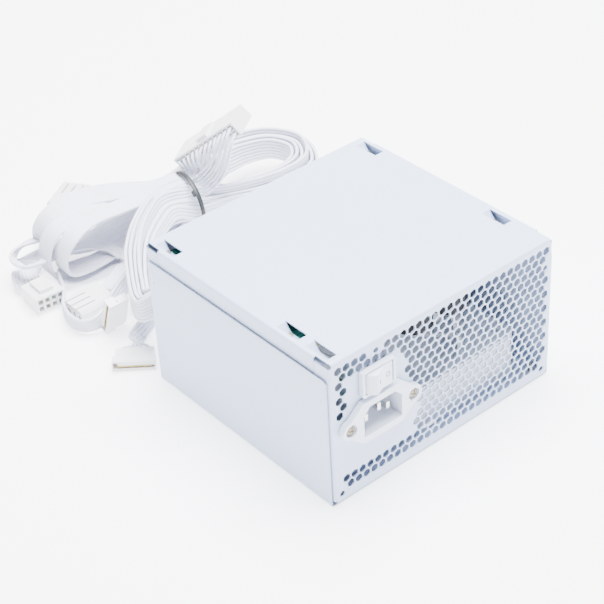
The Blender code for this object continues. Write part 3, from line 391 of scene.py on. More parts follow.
# %% Paths
def smooth_path(points, step, rounds=2):
    """A curve through the points, in even steps of length.

    Between points b and c, with a before and d after, a column is the Catmull-Rom cubic
    (2b + (c-a)t + (2a-5b+4c-d)t^2 + (3b-a-3c+d)t^3) / 2. A few rounds of averaging with the
    neighbours then relax it as a soft cable does.
    """
    knots = np.array(points, float)
    ends = np.vstack([2 * knots[0] - knots[1], knots, 2 * knots[-1] - knots[-2]])
    t = np.linspace(0, 1, 24, endpoint=False)[:, None, None]
    a, b, c, d = ends[:-3], ends[1:-2], ends[2:-1], ends[3:]
    cubic = 2 * b + (c - a) * t + (2 * a - 5 * b + 4 * c - d) * t**2
    cubic = (cubic + (3 * b - a - 3 * c + d) * t**3) / 2
    curve = np.vstack([cubic.transpose(1, 0, 2).reshape(-1, knots.shape[1]), knots[-1]])
    for _ in range(rounds * 6):
        curve[1:-1] = (curve[:-2] + 2 * curve[1:-1] + curve[2:]) / 4
    run = np.r_[0, np.cumsum(np.linalg.norm(np.diff(curve[:, :3], axis=0), axis=1))]
    even = np.linspace(0, run[-1], max(3, round(run[-1] / step) + 1))
    return np.stack([np.interp(even, run, column) for column in curve.T], 1)


def unit(vectors):
    return vectors / np.linalg.norm(vectors, axis=-1, keepdims=True)


def mesh_piece(name, points, faces, slot, smooth=True, uv=None):
    """A mesh object at the origin with a slot's finish. uv is an array over the face corners."""
    mesh = bpy.data.meshes.new(name)
    mesh.from_pydata(points, [], faces)
    if smooth:
        mesh.shade_smooth()
    if uv is not None:
        mesh.uv_layers.new(name="run").uv.foreach_set("vector", uv.astype(np.float32).ravel())
    mesh.materials.append(FINISHES[slot])
    mesh.validate()
    piece = bpy.data.objects.new(name, mesh)
    bpy.context.scene.collection.objects.link(piece)
    return piece


def swept(centres, across, section, closed=False):
    """Points and faces of a closed section carried along centres.

    A section's point (s, t) lands at centre + s W + t N, with W the width direction made
    square to the path's tangent T, and N = T x W.
    """
    if closed:
        tangent = unit(np.roll(centres, -1, 0) - np.roll(centres, 1, 0))
    else:
        tangent = unit(np.gradient(centres, axis=0))
    wide = unit(across - (across * tangent).sum(1, keepdims=True) * tangent)
    thick = np.cross(tangent, wide)
    rings = centres[:, None] + wide[:, None] * section[:, :1] + thick[:, None] * section[:, 1:]
    count, sides = len(centres), len(section)
    i = np.arange(count if closed else count - 1)[:, None] * sides
    j, after = np.arange(sides), (np.arange(sides) + 1) % sides
    onward = (i + sides) % (count * sides)
    faces = np.stack([i + j, onward + j, onward + after, i + after], -1).reshape(-1, 4)
    return rings.reshape(-1, 3), faces


def tubes(name, paths, radius, slot, sides=10):
    """Round wires along several paths as one object, with both ends of each closed."""
    turn = np.linspace(0, 2 * math.pi, sides, endpoint=False)
    section = radius * np.stack([np.cos(turn), np.sin(turn)], 1)
    points, faces, uvs, total = [], [], [], 0
    for path in paths:
        path = np.asarray(path, float)
        tangent = unit(path[-1] - path[0])
        side = np.cross(tangent, (0.31, 0.22, 0.92))
        ring, quads = swept(path, np.tile(unit(side), (len(path), 1)), section)
        run = np.linspace(0, len(path) * 2 * MM, len(path))
        along = np.repeat(run, sides)
        round_it = np.tile(turn * radius, len(path))
        caps = [np.arange(sides)[::-1] + total, np.arange(sides) + total + len(ring) - sides]
        faces += (quads + total).tolist() + [cap.tolist() for cap in caps]
        flat = np.r_[quads.ravel(), caps[0] - total, caps[1] - total]
        uvs.append(np.stack([along[flat], round_it[flat]], 1))
        points.append(ring)
        total += len(ring)
    return mesh_piece(name, np.vstack(points), faces, slot, uv=np.vstack(uvs))


# %% [markdown]
# ## The flat cables
#
# Each flat cable is a row of round wires moulded side by side, so its section is a string of
# shallow arcs, above and below. All six leave the case as one bundle, stand on edge, pass the
# tie, make a ring on the right, pass the tie again and fan out into the loops on the left.


# %% Section of a flat cable
WIRE_PITCH = 1.95 * MM
WIRE_RADIUS = 1.03 * MM
ARC_POINTS = 5


def ribbon_section(wires):
    """Arcs of a circle about each wire, which meet where the circles cross, top then bottom."""
    meet = math.acos(WIRE_PITCH / 2 / WIRE_RADIUS)
    upper = []
    for wire in range(wires):
        start = math.pi if wire == 0 else math.pi - meet
        stop = 0.0 if wire == wires - 1 else meet
        middle = (wire - (wires - 1) / 2) * WIRE_PITCH
        angles = np.linspace(start, stop, ARC_POINTS + (wire in (0, wires - 1)))
        arc = np.stack([middle + WIRE_RADIUS * np.cos(angles), WIRE_RADIUS * np.sin(angles)], 1)
        upper.append(arc if wire == wires - 1 else arc[:-1])
    upper = np.vstack(upper)
    lower = upper[-2:0:-1] * (1, -1)
    return np.vstack([upper, lower])[::-1]


print("a ten-wire cable is", round(9 * WIRE_PITCH / MM + 2 * WIRE_RADIUS / MM, 1), "mm wide")


# %% Points of the shared bundle
# Each row is x, y, z in millimetres and the direction of the cable's width there.
LEAD_LEFT = [
    (-51, 70, 43, 0, 0, 1), (-51, 76, 43, 0, 0, 1), (-54, 82, 41, 0, 0, 1),
    (-62, 86, 36, 0, 0, 1), (-69, 91, 31, 0, 0, 1), (-69, 98, 29, 0, 0, 1),
    (-65, 107, 29, 0, 0, 1), (-57, 120, 30, 0, 0.1, 1), (-48, 134, 31, 0, 0.1, 1),
    (-39, 144, 32, 0, 0.1, 1), (-29, 152, 33, 0, 0.3, 1), (-17, 160, 34, 0, 0.4, 0.9),
    (-3, 167, 34, 0, 0.5, 0.9),
]
LEAD_RIGHT = [
    (-39, 70, 43, 0, 0, 1), (-39, 77, 43, 0, 0, 1), (-41, 84, 42, 0, 0, 1),
    (-48, 90, 36, 0, 0, 1), (-55, 94, 31, 0, 0, 1), (-57, 98, 29, 0, 0, 1),
    (-54, 103, 29, 0, 0, 1), (-47, 114, 30, 0, 0.1, 1), (-38, 126, 31, 0, 0.1, 1),
    (-30, 135, 32, 0, 0.1, 1), (-21, 142, 32, 0, 0.3, 1), (-11, 149, 31, 0, 0.4, 0.9),
    (2, 156, 30, 0, 0.5, 0.9),
]
TIED = [
    (20, 170, 33, 0, 0.8, 0.6), (20, 169, 28, 0, 0.6, 0.8), (20, 165, 30, 0, 0.5, 0.8),
    (20, 163, 25, 0, 0.4, 0.9), (20, 160, 24, 0, 0.3, 1), (20, 158, 21, 0, 0.2, 1),
]
RING_INSIDE = [
    (42, 165, 20, 0, 0.2, 1), (64, 163, 18, 0, 0.1, 1), (84, 161, 18, 0, 0, 1),
    (96, 164, 19, 0, 0, 1), (101, 174, 20, 0.1, 0, 1), (94, 184, 22, 0, 0.1, 1),
    (77, 187, 24, 0, 0.3, 1), (57, 182, 28, 0, 0.6, 0.8),
]
RING_OUTSIDE = [
    (41, 155, 20, 0, 0.2, 1), (63, 149, 18, 0, 0.1, 1), (84, 147, 18, 0, 0, 1),
    (105, 151, 19, 0, 0, 1), (116, 176, 20, 0.1, 0, 1), (101, 197, 22, 0, 0.1, 1),
    (76, 201, 24, 0, 0.3, 1), (55, 190, 28, 0, 0.6, 0.8),
]


def bundle(lane):
    """The bundle's points in one of six lanes, 0 at the ring's inside and 5 at its outside."""
    share = lane / 5
    lead = np.array(LEAD_LEFT) * (1 - share) + np.array(LEAD_RIGHT) * share
    ring = np.array(RING_INSIDE) * (1 - share) + np.array(RING_OUTSIDE) * share
    return [*lead.tolist(), TIED[lane], *ring.tolist()]


# %% Points of each cable after the ring
BACK_LOOP = [
    (20, 184, 32, 0, 1, -0.3), (-3, 185, 36, 0, 1, -0.1), (-25, 197, 36, 0, 1, 0),
    (-38, 200, 36, 0, 1, 0), (-51, 199, 35, 0.1, 1, 0), (-59, 199, 31, 0.1, 1, 0),
    (-62, 200, 25, 0.1, 1, 0), (-60, 203, 16, 0, 1, 0), (-54, 206, 10, 0, 1, 0),
    (-44, 202, 7, 0, 1, 0), (-29, 194, 9, 0, 1, 0), (-12, 191, 15, 0, 0.9, 0.3),
    (4, 184, 20, 0, 0.8, 0.6), (20, 180, 24, 0, 0.6, 0.8), (29, 174, 31, 0.2, 0.2, 0.9),
]
MIDDLE_LOOP = [
    (20, 180, 28, 0, 1, -0.2), (0, 179, 32, 0, 1, -0.1), (-18, 181, 34, 0, 1, 0),
    (-39, 185, 36, 0, 1, 0), (-51, 185, 36, 0, 1, 0), (-60, 185, 35, 0.1, 1, 0),
    (-66, 185, 31, 0.1, 1, 0), (-69, 186, 24, 0.1, 1, 0), (-70, 187, 15, 0.1, 1, 0),
    (-68, 185, 7, 0, 1, 0), (-62, 181, 3, 0, 1, 0), (-50, 176, 2, 0, 1, 0),
    (-30, 172, 4, 0, 1, 0), (-6, 171, 8, 0, 1, 0.1), (20, 172, 18, 0, 0.8, 0.5),
    (31, 168, 33, 0.2, 0.1, 0.9),
]
FRONT_LOOP = [
    (20, 176, 36, 0, 1, 0), (-11, 171, 39, 0, 1, 0), (-25, 172, 39, 0, 1, 0),
    (-40, 175, 38, 0, 1, 0), (-52, 174, 37, 0, 1, 0), (-60, 172, 34, 0.1, 1, 0),
    (-65, 173, 28, 0.1, 1, 0), (-66, 175, 20, 0.1, 1, 0), (-64, 176, 12, 0, 1, 0),
    (-55, 177, 8, 0, 1, 0), (-41, 177, 8, 0, 1, 0), (-25, 178, 9, 0, 1, 0),
    (-8, 178, 12, 0, 1, 0.1), (18, 175, 20, 0, 0.8, 0.6), (31, 163, 36, 0.2, -0.1, 0.9),
]
CPU_RUN = [
    (20, 183, 11, 0, 0.9, -0.3), (0, 188, 7, 0, 1, 0), (-25, 200, 4, 0, 1, 0),
    (-50, 207, 4, 0.1, 1, 0), (-68, 206, 5, 0.5, 0.8, 0), (-78, 199, 6, 1, 0.3, 0),
    (-82, 190, 6, 1, -0.1, 0),
]
SATA_RUN = [
    (20, 166, 6, 0, 1, 0.2), (0, 166, 5, 0, 1, 0), (-25, 176, 5, 0, 1, 0.2),
    (-50, 183, 5, 0, 0.9, 0.4), (-66, 180, 6, 0.3, 0.4, 0.8), (-75, 163, 6, 0.3, 0.1, 1),
    (-82, 152, 6, 0, 0, 1), (-85, 140, 6, -0.1, 0, 1), (-83, 132, 6, -0.2, -0.1, 1),
    (-77, 128, 7, -0.3, 0, 1), (-68, 130, 8, -0.4, 0.1, 0.9), (-61, 132, 12, -0.4, 0.3, 0.9),
    (-47, 134, 19, -0.2, 0.2, 1), (-40, 122, 18, -0.2, 0, 1), (-43, 110, 16, -0.1, -0.1, 1),
    (-53, 104, 13, -0.2, -0.4, 0.9), (-61, 105, 8, -0.6, 0.6, 0.6), (-67, 104, 5, -0.7, 0.6, 0.2),
]
PERIPHERAL_RUN = [
    (20, 160, 9, 0, 0.9, 0.3), (0, 157, 8, 0, 1, 0.1), (-18, 155, 7, 0, 1, 0),
    (-31, 152, 6, 0, 1, 0), (-42, 150, 5.5, 0, 1, 0),
]
SECOND_PERIPHERAL = [
    (-54, 152, 6, 0, 1, 0), (-44, 156, 8, 0.1, 1, 0), (-33, 163, 9, 0.5, 0.8, 0),
    (-31, 172, 11, 0.9, 0.5, 0), (-36, 180, 14, 0.6, 0.8, 0.2), (-46, 184, 17, 0.3, 0.9, 0.3),
    (-60, 187, 18, 0, 0.8, 0.5), (-74, 186, 17, 0.1, 0.7, -0.4), (-82, 190, 16, 0.4, 0.7, -0.6),
    (-83, 198, 15, 0.6, 0.5, -0.6), (-80, 205, 15, 0.6, 0.5, -0.5), (-75, 208, 16, 0.7, 0.6, -0.5),
    (-67, 210, 16, 0.4, 0.8, -0.3), (-59, 211, 15, 0.2, 1, -0.2), (-48, 222, 13, -0.5, 0.8, -0.1),
    (-37, 232, 8, -0.5, 0.8, 0), (-29, 238, 5.5, -0.53, 0.85, 0),
]
CABLES = {
    "atx_cable_1": (10, bundle(3) + BACK_LOOP),
    "atx_cable_2": (7, bundle(2) + MIDDLE_LOOP),
    "atx_cable_3": (7, bundle(0) + FRONT_LOOP),
    "cpu_cable": (8, bundle(1) + CPU_RUN),
    "sata_cable": (5, bundle(4) + SATA_RUN),
    "peripheral_cable": (4, bundle(5) + PERIPHERAL_RUN),
    "peripheral_cable_2": (4, SECOND_PERIPHERAL),
}
print({name: (wires, len(points)) for name, (wires, points) in CABLES.items()})


# %% Build the flat cables
def flat_cable(name, wires, points):
    """A flat cable of so many wires along its points, returned with its path and its length."""
    path = smooth_path(np.array(points) * ([MM] * 3 + [1] * 3), 2.5 * MM)
    section = ribbon_section(wires)
    ring, quads = swept(path[:, :3], path[:, 3:], section)
    sides, count = len(section), len(path)
    caps = [list(range(sides))[::-1], list(range(sides * (count - 1), sides * count))]
    along = np.repeat(np.arange(count) * 2.5 * MM, sides)
    across = np.tile(section[:, 0], count)
    flat = np.r_[quads.ravel(), caps[0], caps[1]]
    uv = np.stack([along[flat], across[flat]], 1)
    piece = mesh_piece(name, ring, quads.tolist() + caps, "cable_white", uv=uv)
    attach(piece, "case")
    length = np.linalg.norm(np.diff(path[:, :3], axis=0), axis=1).sum()
    print(name, "is", round(length * 1000), "mm long and", wires, "wires wide")
    return piece, path, length


cables = {name: flat_cable(name, *plan) for name, plan in CABLES.items()}

# %% [markdown]
# ## Single wires into the plugs
#
# Near a plug the flat cable is split, and each wire goes to its own cavity. A cubic Bezier from
# the cable's end to the cavity keeps both directions: it leaves along the cable and arrives
# square to the plug's back. The plugs' centres and axes are those of the CAD model.

# %% Places of the plugs
PLUGS = {
    "atx_plug": ((43.9, 171.9, 55.6),
                 ((0.338, -0.695, 0.634), (0.414, -0.496, -0.764), (0.845, 0.521, 0.12))),
    "cpu_plug": ((-82.3, 172.5, 6.2), ((-0.997, 0.075, 0), (0, 0, -1), (-0.075, -0.997, 0))),
    "peripheral_plug_1": ((-67.2, 149.2, 4.6), ((1, 0, 0), (0, 1, 0), (0, 0, 1))),
    "peripheral_plug_2": ((-13, 248, 4.6), ((-0.85, -0.53, 0), (0.53, -0.85, 0), (0, 0, 1))),
    "sata_plug_1": ((-77.6, 91.4, 3.4), ((0.77, -0.64, 0), (0.64, 0.77, 0), (0, 0, 1))),
    "sata_plug_2": ((-67.4, 122, 12.5), ((0, -0.33, 0.944), (1, 0, 0), (0, 0.944, 0.33))),
}


def plug_frame(name):
    """A plug's centre in metres and its three axes as rows."""
    centre, axes = PLUGS[name]
    return np.array(centre) * MM, unit(np.array(axes, float))


def cable_ends(name, first=0, last=None):
    """Where each wire of a cable stops, and the direction in which it leaves."""
    _, path, _ = cables[name]
    tangent = unit(path[-1, :3] - path[-3, :3])
    wide = unit(path[-1, 3:] - path[-1, 3:].dot(tangent) * tangent)
    wires = CABLES[name][0]
    across = (np.arange(wires) - (wires - 1) / 2)[:, None] * WIRE_PITCH * wide
    return (path[-1, :3] + across)[first:last], tangent


def bezier(start, leave, arrive, end, count=14):
    """Points of the cubic (1-t)^3 a + 3(1-t)^2 t b + 3(1-t) t^2 c + t^3 d."""
    t = np.linspace(0, 1, count)[:, None]
    return ((1 - t) ** 3 * start + 3 * (1 - t) ** 2 * t * leave
            + 3 * (1 - t) * t**2 * arrive + t**3 * end)


def fan_out(name, starts, tangent, cavities, inward, reach):
    """Wires from a cable's end to the cavities, each running a little way inside."""
    paths = []
    for start, cavity in zip(starts, cavities):
        back = start - tangent * 3 * MM
        bend = np.linalg.norm(cavity - start) * reach
        free = bezier(start, start + tangent * bend, cavity - inward * bend, cavity)
        paths.append(np.vstack([back, free, cavity + inward * 3 * MM]))
    piece = tubes(name, paths, 0.88 * MM, "cable_white")
    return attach(piece, "case")


# %% Wires of the main plug
PIN_PITCH = 4.2 * MM
centre, (rows, between, inward) = plug_frame("atx_plug")
back = centre - inward * 9.25 * MM
columns = (np.arange(12) - 5.5) * PIN_PITCH
cavities = np.array([back + x * rows + y * between for x in columns
                     for y in (-PIN_PITCH / 2, PIN_PITCH / 2)])
taken = 0
for number in (1, 2, 3):
    ends, tangent = cable_ends(f"atx_cable_{number}")
    ends = ends[::-1]
    mine = cavities[taken:taken + len(ends)]
    taken += len(ends)
    fan_out(f"atx_wires_{number}", ends, tangent, mine, inward, 0.42)
print(taken, "wires reach the main plug")

# %% Wires of the processor plug
centre, (rows, between, inward) = plug_frame("cpu_plug")
back = centre - inward * 9.25 * MM
cavities = np.array([back + x * PIN_PITCH * rows + y * PIN_PITCH * between
                     for x in (-1.5, -0.5, 0.5, 1.5) for y in (-0.5, 0.5)])
ends, tangent = cable_ends("cpu_cable")
cpu_wires = fan_out("cpu_wires", ends[::-1], tangent, cavities, inward, 0.35)

# %% Wires of the peripheral and drive plugs
BARREL_PITCH = 5.08 * MM
centre, (along, _, _) = plug_frame("peripheral_plug_1")
across = np.array((0, 1, 0))
ends, tangent = cable_ends("peripheral_cable")
barrels = np.array([centre + along * 11.75 * MM + across * k * BARREL_PITCH
                    for k in (-1.5, -0.5, 0.5, 1.5)])
peripheral_wires = fan_out("peripheral_wires", ends, tangent, barrels, -along, 0.35)

centre, (along, across, _) = plug_frame("peripheral_plug_2")
ends, tangent = cable_ends("peripheral_cable_2")
barrels = np.array([centre + along * 11.75 * MM + across * k * BARREL_PITCH
                    for k in (1.5, 0.5, -0.5, -1.5)])
second_wires = fan_out("peripheral_wires_2", ends, tangent, barrels, -along, 0.35)

centre, (across, along, _) = plug_frame("sata_plug_1")
ends, tangent = cable_ends("sata_cable")
slots = np.array([centre + along * 6.75 * MM + across * k * 4.2 * MM for k in (-2, -1, 0, 1, 2)])
sata_wires = fan_out("sata_wires", ends, tangent, slots, -along, 0.35)

# %% [markdown]
# ## The tie
#
# A paper-thin wire tie in black plastic holds the hank. It is a flattened ring round the
# bundle, pulled tight so that it follows an ellipse, with its two ends twisted together on top.

# %% Tie
TIE_X, TIE_HALF_Y, TIE_HALF_Z = 22 * MM, 19.5 * MM, 18.5 * MM
TIE_Y, TIE_Z = 172 * MM, 21 * MM
angle = np.linspace(0, 2 * math.pi, 96, endpoint=False)
lean = 3 * MM * np.cos(angle)
hoop = np.stack([TIE_X + lean, TIE_Y + TIE_HALF_Y * np.cos(angle),
                 TIE_Z + TIE_HALF_Z * np.sin(angle)], 1)
turn = np.linspace(0, 2 * math.pi, 8, endpoint=False)
oval = np.stack([1.5 * MM * np.cos(turn), 0.5 * MM * np.sin(turn)], 1)
ring, quads = swept(hoop, np.tile((1.0, 0, 0), (len(hoop), 1)), oval, closed=True)
tie = mesh_piece("tie_band", ring, quads.tolist(), "black_plastic")
twist = np.linspace(0, 4 * math.pi, 40)
tails = []
for side in (0, math.pi):
    rise = np.linspace(0, 9 * MM, 40)
    tails.append(np.stack([TIE_X - 4 * MM - rise * 0.4 + 0.6 * MM * np.cos(twist + side),
                           TIE_Y - 12 * MM - rise * 0.8 + 0.6 * MM * np.sin(twist + side),
                           TIE_Z + 14.5 * MM + rise * 0.2], 1))
tails = tubes("tie_twist", tails, 0.55 * MM, "black_plastic", 6)
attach(tie, "case")
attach(tails, "case")
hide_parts("cable_tie")

# %% [markdown]
# ## Moulded parts
#
# A mould never leaves a knife edge. The CAD solids of the inlet, the switch, the plugs and the
# fan's frame have the right shape with sharp edges, so each is copied, its loose triangles are
# joined back into flat faces, and a narrow bevel rounds every edge to catch the light.


# %% Rounded copies of the moulded parts
def moulded_copy(node_name, edge, body="case"):
    """A joined, bevelled copy of a CAD node that stands for it.

    The inlet keeps its triangles: its floor has slots in it, and one face cannot hold them.
    """
    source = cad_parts[node_name]
    shape = bmesh.new()
    shape.from_mesh(source.data)
    bmesh.ops.remove_doubles(shape, verts=shape.verts, dist=0.005 * MM)
    if node_name != "ac_inlet":
        bmesh.ops.dissolve_limit(shape, angle_limit=math.radians(1.5), verts=shape.verts,
                                 edges=shape.edges)
    mesh = bpy.data.meshes.new(node_name + "_moulded")
    shape.to_mesh(mesh)
    shape.free()
    slot = source.data.materials[0].name.removesuffix("_finish")
    mesh.materials.clear()
    mesh.materials.append(FINISHES[slot])
    mesh.shade_smooth()
    mesh.set_sharp_from_angle(angle=math.radians(40))
    piece = bpy.data.objects.new(mesh.name, mesh)
    bpy.context.scene.collection.objects.link(piece)
    rim = piece.modifiers.new("rim", "BEVEL")
    rim.width, rim.segments, rim.limit_method = edge, 3, "ANGLE"
    rim.angle_limit = math.radians(40)
    rim.use_clamp_overlap, rim.harden_normals = True, False
    evener = piece.modifiers.new("even", "WEIGHTED_NORMAL")
    evener.keep_sharp = False
    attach(piece, body)
    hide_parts(node_name)
    return piece


for node_name, edge in (("ac_inlet", 0.45), ("switch_body", 0.5), ("atx_plug", 0.14),
                        ("cpu_plug", 0.14), ("peripheral_plug_1", 0.35),
                        ("peripheral_plug_2", 0.35), ("sata_plug_1", 0.25),
                        ("sata_plug_2", 0.25), ("fan_frame", 0.4)):
    moulded_copy(node_name, edge * MM)
moulded_copy("switch_rocker", 0.4 * MM, "rocker")

# %% [markdown]
# ### Marks on the rocker
#
# The ends of a mains switch carry a ring for off and a bar for on, printed in thin dark ink.
# They are fine wires sunk to half their thickness in the rocker's dished face. The face is a
# circular arc about an axis in front of the switch, so each mark lies in the arc's tangent
# plane at its own place, and both ride on the rocker.

# %% Marks on the rocker
PIVOT = np.array((-46.0, -67.155, 66.2)) * MM
REST_TILT = math.radians(15)
DISH_RADIUS, DISH_AXIS = 18.5 * MM, -23.65 * MM


def on_dish(across):
    """A point of the dished face and its tangent, at a distance across from the pivot."""
    a = math.asin(across / DISH_RADIUS)
    local = np.array((DISH_RADIUS * math.sin(a), DISH_AXIS + DISH_RADIUS * math.cos(a)))
    slope = np.array((math.cos(a), -math.sin(a)))
    c, s = math.cos(REST_TILT), math.sin(REST_TILT)
    turned = np.array(((c, -s), (s, c)))
    point, tangent = turned @ local, turned @ slope
    return PIVOT + (point[0], point[1], 0), np.array((tangent[0], tangent[1], 0))


up = np.array((0, 0, 1.0))
middle_off, tangent_off = on_dish(3.4 * MM)
angle = np.linspace(0, 2 * math.pi, 40, endpoint=False)[:, None]
hoop = middle_off + 1.25 * MM * (np.cos(angle) * tangent_off + np.sin(angle) * up)
turn = np.linspace(0, 2 * math.pi, 6, endpoint=False)
thread = 0.16 * MM * np.stack([np.cos(turn), np.sin(turn)], 1)
normal = np.cross(tangent_off, up)
ring, quads = swept(hoop, np.tile(normal, (len(hoop), 1)), thread, closed=True)
off_mark = mesh_piece("off_mark", ring, quads.tolist(), "sleeve_black")
middle_on, _ = on_dish(-3.4 * MM)
bar = middle_on + np.linspace(-1.3, 1.3, 9)[:, None] * MM * up
on_mark = tubes("on_mark", [bar], 0.17 * MM, "sleeve_black", 8)
for mark in (off_mark, on_mark):
    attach(mark, "rocker")

# %% [markdown]
# ### Screws of the inlet
#
# Two machine screws with passivated, brownish heads hold the inlet. A head is a shallow dome
# over polar coordinates, and a cross is pressed into it: where a point is near one of the
# cross's two arms, the height drops by a smooth step.


# %% Screws of the inlet
def screw_head(name, centre, radius, replaces):
    """A dome h = H (1 - (r/R)^4) with a cross-shaped recess, facing -Y."""
    r, a = np.meshgrid(np.linspace(0.02, 1, 30), np.linspace(0, 2 * math.pi, 72, endpoint=False),
                       indexing="ij")
    x, z = r * np.cos(a), r * np.sin(a)
    turned_x, turned_z = x * 0.9 - z * 0.436, x * 0.436 + z * 0.9
    arm = np.minimum(np.abs(turned_x), np.abs(turned_z))
    inside = np.clip((0.17 - arm) / 0.07, 0, 1) * np.clip((0.68 - r) / 0.1, 0, 1)
    height = 0.9 * MM * (1 - r**4) - 0.55 * MM * inside
    points = np.stack([centre[0] + radius * x, centre[1] - height, centre[2] + radius * z], -1)
    i, j = np.meshgrid(np.arange(29) * 72, np.arange(72), indexing="ij")
    after = (j + 1) % 72
    quads = np.stack([i + j, i + after, i + 72 + after, i + 72 + j], -1).reshape(-1, 4)
    faces = quads.tolist() + [list(range(71, -1, -1)), list(range(29 * 72, 30 * 72))]
    piece = mesh_piece(name, points.reshape(-1, 3), faces, "screw_brown")
    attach(piece, "case")
    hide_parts(replaces)
    return piece


INLET_X, INLET_Z, INLET_SCREWS = -44.6 * MM, 44.5 * MM, 40 * MM
HEAD_RADIUS, HEAD_SUNK = 2.9 * MM, 1.3 * MM
low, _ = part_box("ac_inlet")
for number, side in ((1, -0.5), (2, 0.5)):
    seat = (INLET_X + side * INLET_SCREWS, low.y + HEAD_SUNK, INLET_Z)
    screw_head(f"inlet_screw_head_{number}", seat, HEAD_RADIUS, f"inlet_screw_{number}")

# %% [markdown]
# ### Contacts of the drive plugs
#
# A drive plug has fifteen gilt blades at a pitch of 1.27 mm along one side of its slot, and
# they show as a fine golden line at its mouth.


# %% Contacts of the drive plugs
def drive_contacts(name, plug):
    """Fifteen flat blades side by side at the mouth of a drive plug, as one piece."""
    centre, (across, along, above) = plug_frame(plug)
    corners = np.array([(x, y, z) for x in (-0.42, 0.42) for y in (-6.65, -1.5)
                        for z in (-0.28, 0.02)]) * MM
    steps = (np.arange(15) - 7)[:, None, None] * np.array((1.27, 0, 0)) * MM
    local = (corners[None] + steps).reshape(-1, 3)
    points = centre + local @ np.array((across, along, above))
    cube = np.array([(0, 1, 3, 2), (4, 6, 7, 5), (0, 4, 5, 1), (2, 3, 7, 6), (0, 2, 6, 4),
                     (1, 5, 7, 3)])
    faces = (cube[None] + np.arange(15)[:, None, None] * 8).reshape(-1, 4)
    piece = mesh_piece(name, points, faces.tolist(), "brass", smooth=False)
    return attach(piece, "case")


contacts = [drive_contacts(f"drive_contacts_{k}", f"sata_plug_{k}") for k in (1, 2)]

OUTLET = (-0.045, 0.0663, 0.043)
for name, (piece, path, length) in cables.items():
    width = CABLES[name][0] * WIRE_PITCH
    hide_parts("cable_lead", "cable_hank")

# %% [markdown]
# ## The folded sheets
#
# Both halves of the case are cut from flat steel and folded, and they are modelled in that
# order. The blank is drawn flat, with every hole in it, and triangulated by Delaunay's rule.
# Then one formula folds it: a distance along the blank becomes a place on a profile with round
# bends. So every hole is cut before the fold, as in the factory, and the corners stay open
# where a real sheet has its relief notches. Solidify gives the steel its thickness last.

# %% Folding and cutting
SHEET = 0.8 * MM
BEND = 1.3 * MM


def bent_profile(corners, radius, steps=6):
    """Rows of length along a profile, with its point and inward normal there.

    At each corner the profile turns 90 degrees on an arc: centre + R (cos a, sin a).
    """
    corners = np.array(corners, float)
    ways = unit(np.diff(corners, axis=0))
    hand = -np.sign(ways[0][0] * ways[1][1] - ways[0][1] * ways[1][0])
    points, normals = [corners[0]], [hand * np.array((ways[0][1], -ways[0][0]))]
    for corner, before, after in zip(corners[1:-1], ways, ways[1:]):
        centre = corner - before * radius + after * radius
        for a in np.linspace(0, math.pi / 2, steps + 1):
            way = before * math.cos(a) + after * math.sin(a)
            inward = hand * np.array((way[1], -way[0]))
            points.append(centre - inward * radius)
            normals.append(inward)
    points.append(corners[-1])
    normals.append(hand * np.array((ways[-1][1], -ways[-1][0])))
    points = np.array(points)
    run = np.r_[0, np.cumsum(np.linalg.norm(np.diff(points, axis=0), axis=1))]
    return run, points, np.array(normals)


def ring_of(centre, radius, sides, turn=0.0):
    """Corners of a regular polygon."""
    a = turn + np.linspace(0, 2 * math.pi, sides, endpoint=False)
    return np.array(centre) + radius * np.stack([np.cos(a), np.sin(a)], 1)


def rounded_square(centre, half, radius, steps=5):
    """A square whose corners are quarter circles."""
    loops = []
    for quarter in range(4):
        a = quarter * math.pi / 2 + np.linspace(0, math.pi / 2, steps)
        corner = (half - radius) * np.array([(1, 1), (-1, 1), (-1, -1), (1, -1)][quarter])
        loops.append(np.array(centre) + corner + radius * np.stack([np.cos(a), np.sin(a)], 1))
    return np.vstack(loops)


def within(points, polygon):
    """Even-odd rule: inside if a ray from the point crosses the outline an odd number of times."""
    x, y = points.T
    inside = np.zeros(len(points), bool)
    for (ax, ay), (bx, by) in zip(polygon, np.roll(polygon, -1, 0)):
        if ay != by:
            crosses = (ay > y) != (by > y)
            inside ^= crosses & (x < (bx - ax) * (y - ay) / (by - ay) + ax)
    return inside


def cut_blank(outline, holes, lines, loops=()):
    """Triangles of a flat blank: inside the outline, outside the holes, split along the lines."""
    points, edges = [], []
    for shape in (outline, *holes, *loops):
        first = len(points)
        points += [tuple(corner) for corner in shape]
        edges += [(first + i, first + (i + 1) % len(shape)) for i in range(len(shape))]
    for start, stop in lines:
        edges.append((len(points), len(points) + 1))
        points += [start, stop]
    made = delaunay_2d_cdt([Vector(p) for p in points], edges, [], 0, 1e-7)
    flat = np.array([tuple(p) for p in made[0]])
    faces = np.array([tuple(face) for face in made[2]])
    middle = flat[faces].mean(1)
    keep = within(middle, np.asarray(outline))
    for hole in holes:
        keep &= ~within(middle, np.asarray(hole))
    faces = faces[keep]
    area = np.cross(flat[faces[:, 1]] - flat[faces[:, 0]], flat[faces[:, 2]] - flat[faces[:, 0]])
    faces[area < 0] = faces[area < 0][:, ::-1]
    used, faces = np.unique(faces, return_inverse=True)
    return flat[used], faces.reshape(-1, 3)


def sheet_piece(name, points, faces, replaces):
    """A sheet from its outer surface, with thickness inward and flat faces shaded flat."""
    piece = mesh_piece(name, points, faces.tolist(), "powder_white")
    piece.data.set_sharp_from_angle(angle=math.radians(35))
    wall = piece.modifiers.new("wall", "SOLIDIFY")
    wall.thickness, wall.offset = SHEET, -1
    wall.use_even_offset = True
    evener = piece.modifiers.new("even", "WEIGHTED_NORMAL")
    evener.keep_sharp = True
    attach(piece, "case")
    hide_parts(replaces)
    print(name, "has", len(faces), "triangles before its thickness")
    return piece


